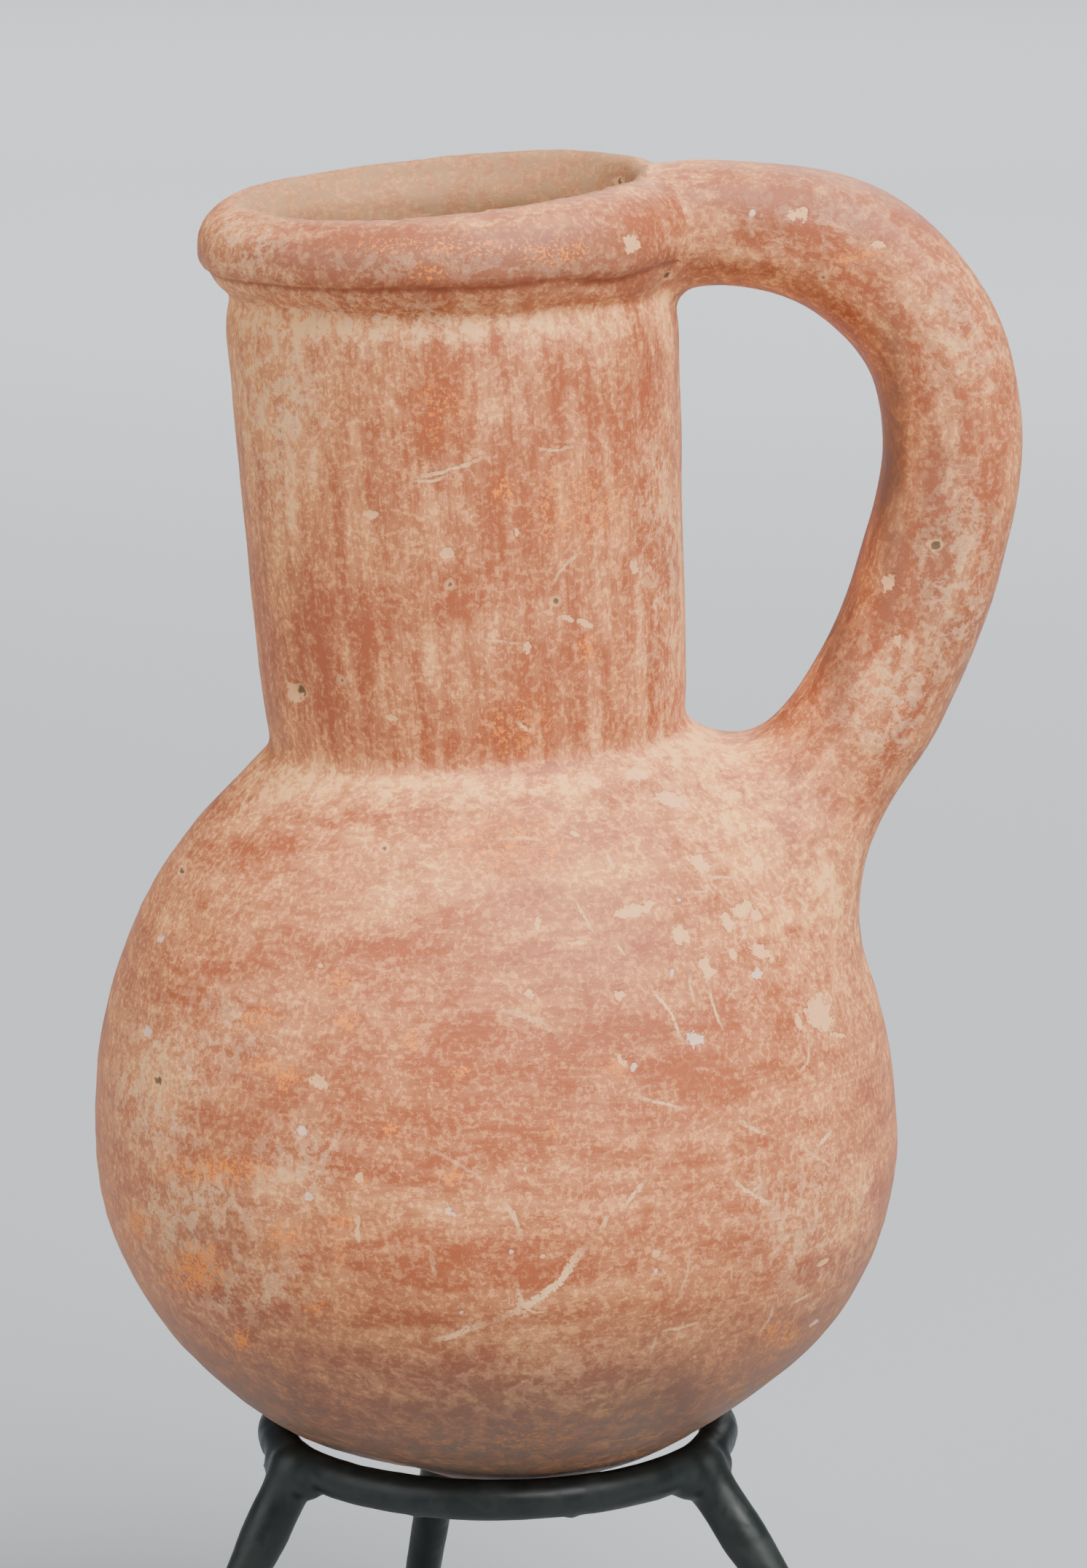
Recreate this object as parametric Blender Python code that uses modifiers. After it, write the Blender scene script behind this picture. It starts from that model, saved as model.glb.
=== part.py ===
"""Burnished clay juglet resting in a welded wire tripod.

The juglet is one fired piece: a round body, an upright neck, a rolled rim and a thick strap
handle, hollow down to its base. The tripod is one welded piece: a wire ring on three splayed
legs. Units are metres and +Z is up. The feet stand on z = 0, and the origin is under the middle
of the bounding box. The handle points along +X.
"""

from math import atan2, cos, pi, radians, sin, sqrt

import bmesh
import bpy
import numpy as np
from mathutils import Vector

MM = 0.001
MERGE = 0.01 * MM

# Juglet, measured from the middle of its body: radii, and heights up or down from there
BODY_RADIUS = 42.2 * MM
BODY_DROP = 36.9 * MM
UNDERSIDE_FULLNESS = 1.94
SHOULDER_RISE = 49.0 * MM
SHOULDER_CONE_RADIUS = 26.0 * MM
NECK_FOOT_RADIUS = 21.5 * MM
NECK_FOOT_HEIGHT = 42.9 * MM
NECK_WAIST_RADIUS = 22.6 * MM
NECK_HEAD_RADIUS = 23.1 * MM
GROOVE_RADIUS = 22.6 * MM
GROOVE_HEIGHT = 89.3 * MM
LIP_RADIUS = 21.1 * MM
RIM_RADIUS = 25.4 * MM
RIM_HEIGHT = 10.3 * MM
LIP_HEIGHT = GROOVE_HEIGHT + RIM_HEIGHT

# Roll of the rim: how far its round section goes under, then the folded edge below it, as steps
# in from the rim's radius and heights above the groove
ROLL_UNDER = 0.12 * pi
FOLDED_EDGE = (
    (1.3 * MM, 2.5 * MM),
    (2.1 * MM, 0.9 * MM),
)

# Outline of the neck: radii at shares of the way down from the groove
NECK_OUTLINE = (
    (NECK_HEAD_RADIUS, 0.06),
    (NECK_HEAD_RADIUS, 0.2),
    (NECK_WAIST_RADIUS, 0.6),
    (NECK_WAIST_RADIUS - 0.5 * MM, 0.82),
)

# Soft corner where the neck meets the shoulder: steps out, and up from the neck's foot
NECK_CORNER = (
    (0.0, 0.6 * MM),
    (0.6 * MM, -0.4 * MM),
)

# Clay thickness, and the inside of the neck: its throat below the groove, its widest height
# above the groove, and where the lip's inner curve starts on the rim's height
BODY_WALL = 4.2 * MM
BASE_WALL = 5.2 * MM
NECK_WALL = 4.4 * MM
MOUTH_RADIUS = 18.4 * MM
THROAT_DROP = 24 * MM
MOUTH_RISE = 2 * MM
LIP_START = 0.45

# Handle: its oval section, then its middle line as distances out from the vessel's axis, drops
# below the lip, and how much thicker the clay is there
STRAP_THICKNESS = 14.5 * MM
STRAP_WIDTH = 17.4 * MM
HANDLE_LINE = (
    (12.0 * MM, 4.8 * MM, 0.95),
    (24.5 * MM, 4.0 * MM, 0.86),
    (36.2 * MM, 6.9 * MM, 1.0),
    (44.4 * MM, 15.2 * MM, 1.0),
    (47.0 * MM, 26.5 * MM, 1.0),
    (44.9 * MM, 39.0 * MM, 1.0),
    (39.6 * MM, 52.4 * MM, 1.0),
    (32.6 * MM, 62.0 * MM, 1.28),
    (27.6 * MM, 70.2 * MM, 1.7),
    (23.5 * MM, 76.5 * MM, 1.7),
)

# Tripod
ROD_RADIUS = 2.1 * MM
RING_RADIUS = 23.5 * MM
RING_HEIGHT = 45.0 * MM
WELD_RADIUS = 3.0 * MM
LEG_COLLAR = 1.25
COLLAR_REACH = 0.12
SEAT_GAP = 0.3 * MM

# Each leg's direction round the ring, and its splay from the vertical
LEGS = (
    (radians(208), radians(29)),
    (radians(332), radians(38)),
    (radians(102), radians(33)),
)

# Mesh resolution
TURNED_STEPS = 44
ROLL_STEPS = 6
SHOULDER_STEPS = 8
UNDERSIDE_STEPS = 11
INSIDE_STEPS = 6
INNER_LIP_STEPS = 4
HANDLE_SIDES = 14
RING_STEPS = 48
ROD_SIDES = 10
SEAT_STEPS = 4000

CLAY_RED = (0.42, 0.165, 0.105, 1.0)
COATING_BLACK = (0.02, 0.028, 0.028, 1.0)

# Where the hand-made form strays from a true turned one. Each row is a height, the sideways
# shift of the axis there, and the slopes of that section to the side and to the back.
STRAY = (
    (-BODY_DROP, -0.2 * MM, 0.0, 0.0),
    (-0.6 * BODY_DROP, 0.2 * MM, 0.0, 0.0),
    (0.0, 0.0, 0.0, 0.0),
    (NECK_FOOT_HEIGHT, -1.9 * MM, 0.062, 0.0),
    (GROOVE_HEIGHT, -4.8 * MM, 0.020, 0.028),
    (LIP_HEIGHT, -5.6 * MM, 0.079, 0.062),
)

# Flats left by the potter's hand on the underside: direction round the vessel, height, half
# angle, half height and depth. They fade out within a small radius round the base's centre.
FLAT_FADE = 10 * MM
FLATS = (
    (radians(0), -26.5 * MM, radians(30), 4.6 * MM, 1.5 * MM),
    (radians(237), -32.5 * MM, radians(22), 4.5 * MM, 1.1 * MM),
)


def clear_scene():
    for obj in list(bpy.data.objects):
        bpy.data.objects.remove(obj)
    for block in list(bpy.data.collections):
        bpy.data.collections.remove(block)


def add_collection(name):
    collection = bpy.data.collections.new(name)
    bpy.context.scene.collection.children.link(collection)
    return collection


def add_material(name, colour, roughness, metallic):
    material = bpy.data.materials.new(name)
    material.use_nodes = True
    shader = material.node_tree.nodes["Principled BSDF"]
    shader.inputs["Base Color"].default_value = colour
    shader.inputs["Roughness"].default_value = roughness
    shader.inputs["Metallic"].default_value = metallic
    material.diffuse_color = colour
    return material


def add_object(name, data, collection):
    obj = bpy.data.objects.new(name, data)
    collection.objects.link(obj)
    return obj


def as_tool(obj, tools):
    """Move an object among the shapes that only cut or join others."""
    for collection in obj.users_collection:
        collection.objects.unlink(obj)
    tools.objects.link(obj)
    obj.hide_render = True
    obj.display_type = "WIRE"
    return obj


def add_boolean(target, tool, operation):
    boolean = target.modifiers.new(operation.title() + " " + tool.name, "BOOLEAN")
    boolean.operation = operation
    boolean.solver = "EXACT"
    boolean.object = tool


def baked_mesh(obj, name):
    """Return the evaluated mesh of an object in world space, and remove the object."""
    bpy.context.view_layer.update()
    evaluated = obj.evaluated_get(bpy.context.evaluated_depsgraph_get())
    mesh = bpy.data.meshes.new_from_object(evaluated)
    mesh.name = name
    mesh.transform(obj.matrix_world)
    bpy.data.objects.remove(obj)
    cage = bmesh.new()
    cage.from_mesh(mesh)
    bmesh.ops.remove_doubles(cage, verts=cage.verts, dist=MERGE)
    bmesh.ops.recalc_face_normals(cage, faces=cage.faces)
    cage.to_mesh(mesh)
    cage.free()
    return mesh


def shade_round(mesh, sharp_angle):
    mesh.shade_smooth()
    mesh.set_sharp_from_angle(angle=sharp_angle)


def arc(centre, across, up, start, end, steps, fullness=2.0):
    """Points on an oval arc, from one angle to another, without its first point.

    A fullness of 2 is an ellipse, and a smaller one has flatter flanks.
    """
    power = 2 / fullness
    points = []
    for angle in np.linspace(start, end, steps + 1)[1:]:
        sideways = across * abs(cos(angle)) ** power
        upward = up * abs(sin(angle)) ** power
        points.append((centre[0] + sideways, centre[1] + (upward if sin(angle) > 0 else -upward)))
    return points


def arc_angle(radius, widest):
    """Angle on an elliptical arc at which it has a given radius."""
    return atan2(sqrt(1 - (radius / widest) ** 2), radius / widest)


def outer_side():
    """Radius and height down the outside, from the lip to the centre of the base."""
    points = [(LIP_RADIUS, LIP_HEIGHT)]
    roll_middle = GROOVE_HEIGHT + RIM_HEIGHT / 2
    roll = RIM_RADIUS - LIP_RADIUS
    points += arc((LIP_RADIUS, roll_middle), roll, RIM_HEIGHT / 2, pi / 2, -ROLL_UNDER, ROLL_STEPS)
    points += [(RIM_RADIUS - inward, GROOVE_HEIGHT + height) for inward, height in FOLDED_EDGE]
    points.append((GROOVE_RADIUS, GROOVE_HEIGHT))
    neck_length = GROOVE_HEIGHT - NECK_FOOT_HEIGHT
    points += [(radius, GROOVE_HEIGHT - share * neck_length) for radius, share in NECK_OUTLINE]
    points += [(NECK_FOOT_RADIUS + out, NECK_FOOT_HEIGHT + up) for out, up in NECK_CORNER]
    cone = arc_angle(SHOULDER_CONE_RADIUS, BODY_RADIUS)
    points.append((SHOULDER_CONE_RADIUS, SHOULDER_RISE * sin(cone)))
    points += arc((0, 0), BODY_RADIUS, SHOULDER_RISE, cone, 0, SHOULDER_STEPS)
    points += arc(
        (0, 0), BODY_RADIUS, BODY_DROP, 0, -pi / 2, UNDERSIDE_STEPS, UNDERSIDE_FULLNESS)
    points[-1] = (0.0, -BODY_DROP)
    return points


def inner_side():
    """Radius and height up the inside, from the centre of the floor to the lip."""
    radius = BODY_RADIUS - BODY_WALL
    rise = SHOULDER_RISE - BODY_WALL
    foot_radius = NECK_FOOT_RADIUS - NECK_WALL
    foot = arc_angle(foot_radius, radius)
    points = [(0.0, BASE_WALL - BODY_DROP)]
    points += arc(
        (0, 0), radius, BODY_DROP - BASE_WALL, -pi / 2, 0, INSIDE_STEPS + 1, UNDERSIDE_FULLNESS)
    points += arc((0, 0), radius, rise, 0, foot, INSIDE_STEPS)
    points.append((NECK_WAIST_RADIUS - NECK_WALL, GROOVE_HEIGHT - THROAT_DROP))
    points.append((MOUTH_RADIUS, GROOVE_HEIGHT + MOUTH_RISE))
    lip_start = GROOVE_HEIGHT + LIP_START * RIM_HEIGHT
    lip_width = LIP_RADIUS - MOUTH_RADIUS
    inner_lip = arc(
        (LIP_RADIUS, lip_start), -lip_width, LIP_HEIGHT - lip_start, 0, pi / 2, INNER_LIP_STEPS)
    points.append((MOUTH_RADIUS, lip_start))
    points += inner_lip[:-1]
    return points


def core_side():
    """Radius and height down the middle of the wall, carried straight up over the mouth."""
    radius = BODY_RADIUS - BODY_WALL / 2
    rise = SHOULDER_RISE - BODY_WALL / 2
    foot_radius = NECK_FOOT_RADIUS - NECK_WALL / 2
    foot = arc_angle(foot_radius, radius)
    top = LIP_HEIGHT + RIM_HEIGHT
    points = [(0.0, top), (LIP_RADIUS, top), (LIP_RADIUS, LIP_HEIGHT)]
    points.append(((GROOVE_RADIUS + MOUTH_RADIUS) / 2, GROOVE_HEIGHT))
    points.append((foot_radius, rise * sin(foot)))
    points += arc((0, 0), radius, rise, foot, 0, INSIDE_STEPS)
    points += arc((0, 0), radius, BODY_DROP - BASE_WALL / 2, 0, -pi / 2, INSIDE_STEPS)
    points[-1] = (0.0, BASE_WALL / 2 - BODY_DROP)
    return points


def turned_mesh(name, points, collection):
    """Turn a profile of radius and height round the vessel's axis."""
    profile = bpy.data.meshes.new(name + "_profile")
    corners = [(radius, 0.0, height) for radius, height in points]
    edges = [(i, i + 1) for i in range(len(points) - 1)]
    profile.from_pydata(corners, edges, [])
    obj = add_object(name + "_profile", profile, collection)
    screw = obj.modifiers.new("Turn", "SCREW")
    screw.axis = "Z"
    screw.angle = 2 * pi
    screw.steps = TURNED_STEPS
    screw.render_steps = TURNED_STEPS
    screw.use_merge_vertices = True
    screw.merge_threshold = MERGE
    return baked_mesh(obj, name)


def hand_shaped(x, y, z):
    """Return where a point of the true turned form lies on the hand-made one."""
    heights = [row[0] for row in STRAY]
    shift, side, back = [np.interp(z, heights, [row[i] for row in STRAY]) for i in (1, 2, 3)]
    radius = max((x * x + y * y) ** 0.5, 1e-9)
    direction = atan2(y, x)
    pressed = 0.0
    for flat_direction, flat_height, half_angle, half_height, depth in FLATS:
        turn = (direction - flat_direction + pi) % (2 * pi) - pi
        reach = (turn / half_angle) ** 2 + ((z - flat_height) / half_height) ** 2
        pressed += depth * np.exp(-reach) * min(1.0, radius / FLAT_FADE)
    scale = 1 - pressed / BODY_DROP
    return (x * scale + shift, y * scale, (z + x * side + y * back) * scale)


def shape_by_hand(mesh):
    for vertex in mesh.vertices:
        vertex.co = hand_shaped(*vertex.co)


def tube_mesh(name, path, radii, thickness, sides, resolution, collection, widen=1.0):
    """A capped tube through the points of a path, oval when widened across Y."""
    curve = bpy.data.curves.new(name, "CURVE")
    curve.dimensions = "3D"
    curve.fill_mode = "FULL"
    curve.bevel_depth = thickness / 2
    curve.bevel_resolution = (sides - 4) // 2
    curve.use_fill_caps = True
    curve.resolution_u = resolution
    spline = curve.splines.new("BEZIER")
    spline.bezier_points.add(len(path) - 1)
    for point, place, radius in zip(spline.bezier_points, path, radii):
        point.co = place
        point.radius = radius
        point.handle_left_type = "AUTO"
        point.handle_right_type = "AUTO"
    obj = add_object(name, curve, collection)
    obj.scale.y = widen
    return baked_mesh(obj, name)


def make_handle(tools):
    """The strap from the rim over to the shoulder, its ends trimmed inside the clay wall."""
    path = [(out, 0, LIP_HEIGHT - drop) for out, drop, swell in HANDLE_LINE]
    swells = [swell for out, drop, swell in HANDLE_LINE]
    widen = STRAP_WIDTH / STRAP_THICKNESS
    mesh = tube_mesh("handle", path, swells, STRAP_THICKNESS, HANDLE_SIDES, 4, tools, widen)
    handle = as_tool(add_object("handle", mesh, tools), tools)
    core_mesh = turned_mesh("wall_core", core_side(), tools)
    shape_by_hand(core_mesh)
    core = as_tool(add_object("wall_core", core_mesh, tools), tools)
    add_boolean(handle, core, "DIFFERENCE")
    return handle


def make_juglet(parts, tools):
    mesh = turned_mesh("juglet", inner_side() + outer_side(), parts)
    shape_by_hand(mesh)
    shade_round(mesh, radians(40))
    juglet = add_object("juglet", mesh, parts)
    mesh.materials.append(add_material("burnished clay", CLAY_RED, 0.62, 0.0))
    add_boolean(juglet, make_handle(tools), "UNION")
    return juglet


def seat_height():
    """Height of the middle of the body above the ring's wire that it rests on."""
    clearance = ROD_RADIUS + SEAT_GAP
    side = arc((0, 0), BODY_RADIUS, BODY_DROP, -pi / 2, 0, SEAT_STEPS, UNDERSIDE_FULLNESS)
    for lower, upper in zip(side, side[1:]):
        along = (Vector(upper) - Vector(lower)).normalized()
        seat = Vector(lower) + Vector((along.y, -along.x)) * clearance
        if seat.x >= RING_RADIUS:
            return -seat.y
    raise ValueError("the ring is wider than the body")


def cut_flat(mesh, height):
    """Cut a closed mesh off flat at a height, and keep what is above."""
    cage = bmesh.new()
    cage.from_mesh(mesh)
    geometry = cage.verts[:] + cage.edges[:] + cage.faces[:]
    cut = bmesh.ops.bisect_plane(
        cage, geom=geometry, dist=MERGE / 10, plane_co=(0, 0, height), plane_no=(0, 0, 1),
        clear_inner=True)
    rim = [item for item in cut["geom_cut"] if isinstance(item, bmesh.types.BMEdge)]
    bmesh.ops.edgeloop_fill(cage, edges=rim)
    bmesh.ops.recalc_face_normals(cage, faces=cage.faces)
    cage.to_mesh(mesh)
    cage.free()


def make_leg(index, direction, splay, tools):
    """A straight rod from the ring's wire down to the floor, where it is cut level."""
    outward = Vector((cos(direction), sin(direction), 0))
    down = outward * sin(splay) - Vector((0, 0, cos(splay)))
    top = outward * RING_RADIUS + Vector((0, 0, RING_HEIGHT))
    length = RING_HEIGHT / cos(splay) + 2 * ROD_RADIUS
    collar = COLLAR_REACH * length
    path = [top + down * reach for reach in (0, collar, 2 * collar, length)]
    radii = (LEG_COLLAR, LEG_COLLAR, 1.0, 1.0)
    name = "leg_" + str(index)
    mesh = tube_mesh(name, path, radii, 2 * ROD_RADIUS, ROD_SIDES, 2, tools)
    cut_flat(mesh, 0.0)
    return as_tool(add_object(name, mesh, tools), tools)


def make_weld(index, direction, splay, tools):
    """The thick bead under the ring where a leg is welded on."""
    outward = Vector((cos(direction), sin(direction), 0))
    down = outward * sin(splay) - Vector((0, 0, cos(splay)))
    middle = outward * RING_RADIUS + Vector((0, 0, RING_HEIGHT)) + down * (WELD_RADIUS - ROD_RADIUS)
    bpy.ops.mesh.primitive_uv_sphere_add(
        segments=12, ring_count=8, radius=WELD_RADIUS, location=middle)
    weld = bpy.context.object
    weld.name = "weld_" + str(index)
    return as_tool(weld, tools)


def make_tripod(parts, tools):
    bpy.ops.mesh.primitive_torus_add(
        major_radius=RING_RADIUS, minor_radius=ROD_RADIUS, major_segments=RING_STEPS,
        minor_segments=ROD_SIDES, location=(0, 0, RING_HEIGHT))
    ring = bpy.context.object
    mesh = ring.data
    for collection in ring.users_collection:
        collection.objects.unlink(ring)
    parts.objects.link(ring)
    ring.name = "tripod_stand"
    mesh.materials.append(add_material("black coated wire", COATING_BLACK, 0.55, 0.0))
    shade_round(mesh, radians(60))
    for index, (direction, splay) in enumerate(LEGS):
        add_boolean(ring, make_leg(index, direction, splay, tools), "UNION")
        add_boolean(ring, make_weld(index, direction, splay, tools), "UNION")
    return ring


def centre_over_origin(holder, pieces):
    """Shift the whole object until the middle of its bounding box is over the origin."""
    bpy.context.view_layer.update()
    corners = []
    graph = bpy.context.evaluated_depsgraph_get()
    for piece in pieces:
        evaluated = piece.evaluated_get(graph)
        corners += [piece.matrix_world @ Vector(corner) for corner in evaluated.bound_box]
    low = [min(corner[axis] for corner in corners) for axis in range(2)]
    high = [max(corner[axis] for corner in corners) for axis in range(2)]
    holder.location = (-(low[0] + high[0]) / 2, -(low[1] + high[1]) / 2, 0)


def main():
    clear_scene()
    parts = add_collection("burnished_juglet")
    tools = add_collection("cutters")
    holder = add_object("juglet_on_tripod", None, parts)
    juglet = make_juglet(parts, tools)
    juglet.location.z = RING_HEIGHT + seat_height()
    tripod = make_tripod(parts, tools)
    for piece in (juglet, tripod):
        piece.parent = holder
    for tool in tools.objects:
        tool.parent = holder
    for name in ("handle", "wall_core"):
        bpy.data.objects[name].location.z = juglet.location.z
    centre_over_origin(holder, (juglet, tripod))


main()
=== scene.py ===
"""Burnished clay juglet in its coated wire tripod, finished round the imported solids.

Lengths are in metres unless a name says otherwise. Heights of the juglet are measured from the
middle of its body, and its handle points along +X. Marks seen in the photograph are listed by
their places in its 1492 x 2152 frame, and are laid on the clay where that line of sight meets it.
"""

from collections import namedtuple
from math import atan2, cos, pi, radians, sin, sqrt

import bmesh
import bpy
import numpy as np
from bpy.props import FloatProperty, FloatVectorProperty, PointerProperty
from mathutils import Matrix, Vector, noise
from mathutils.bvhtree import BVHTree


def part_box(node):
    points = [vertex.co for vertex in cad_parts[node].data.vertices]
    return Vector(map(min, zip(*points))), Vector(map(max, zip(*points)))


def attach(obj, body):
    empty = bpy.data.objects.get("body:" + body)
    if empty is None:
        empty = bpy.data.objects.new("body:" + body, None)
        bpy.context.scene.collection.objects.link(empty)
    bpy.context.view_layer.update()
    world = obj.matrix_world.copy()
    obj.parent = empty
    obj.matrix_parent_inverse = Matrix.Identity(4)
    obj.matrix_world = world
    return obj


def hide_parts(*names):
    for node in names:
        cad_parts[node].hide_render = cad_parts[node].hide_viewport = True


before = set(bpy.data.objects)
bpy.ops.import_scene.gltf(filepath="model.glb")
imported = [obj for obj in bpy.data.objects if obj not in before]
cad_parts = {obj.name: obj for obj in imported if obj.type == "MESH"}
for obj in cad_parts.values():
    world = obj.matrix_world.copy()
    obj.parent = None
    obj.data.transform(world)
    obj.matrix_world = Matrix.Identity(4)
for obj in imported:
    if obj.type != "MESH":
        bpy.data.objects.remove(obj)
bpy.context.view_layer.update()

bl_info = {
    "name": "Burnished juglet",
    "version": (1, 0, 0),
    "blender": (4, 5, 0),
    "location": "3D View > Sidebar > Juglet",
    "description": "Builds a burnished clay juglet, its wire tripod and a plain studio",
    "category": "Object",
}

MM = 0.001

# The photograph's frame in pixels, the focal length in the same pixels, and the camera's place
# and downward pitch
FRAME_WIDTH = 1492
FRAME_HEIGHT = 2152
FOCAL_PIXELS = 7500.0
CAMERA_FROM_BODY = (4.85 * MM, -558.67 * MM, 148.82 * MM)
CAMERA_PITCH = radians(11.3)
SENSOR_HEIGHT = 36.0

# Where the hand-made form strays from a true turned one: height, sideways shift of the axis
# there, and the slopes of that section to the side and to the back
STRAY = (
    (-36.9 * MM, -0.2 * MM, 0.0, 0.0),
    (-22.1 * MM, 0.2 * MM, 0.0, 0.0),
    (0.0, 0.0, 0.0, 0.0),
    (42.9 * MM, -1.9 * MM, 0.062, 0.0),
    (89.3 * MM, -4.8 * MM, 0.020, 0.028),
    (99.6 * MM, -5.6 * MM, 0.079, 0.062),
)

# Flats on the underside: direction, height, half angle, half height and depth
FLATS = (
    (radians(0), -26.5 * MM, radians(30), 4.6 * MM, 1.5 * MM),
    (radians(237), -32.5 * MM, radians(22), 4.5 * MM, 1.1 * MM),
)

# The handle's middle line in millimetres: distance from the axis, height from the lip, and the
# share of the section. The section lies between an oval (2) and a box, so its sides are flatter.
STRAP_SQUARENESS = 2.5
HANDLE_LINE = (
    (12.0, -4.8, 0.95), (24.5, -4.0, 0.86), (36.2, -6.9, 1.0), (44.4, -15.2, 1.0),
    (47.0, -26.5, 1.0), (44.9, -39.0, 1.0), (39.7, -52.4, 1.0), (33.2, -62.0, 1.13),
    (27.1, -69.0, 1.85), (22.9, -75.2, 1.98),
)

# Each leg's direction round the ring and its splay from the vertical
LEGS = (
    (radians(208), radians(29)),
    (radians(332), radians(38)),
    (radians(102), radians(33)),
)

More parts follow.
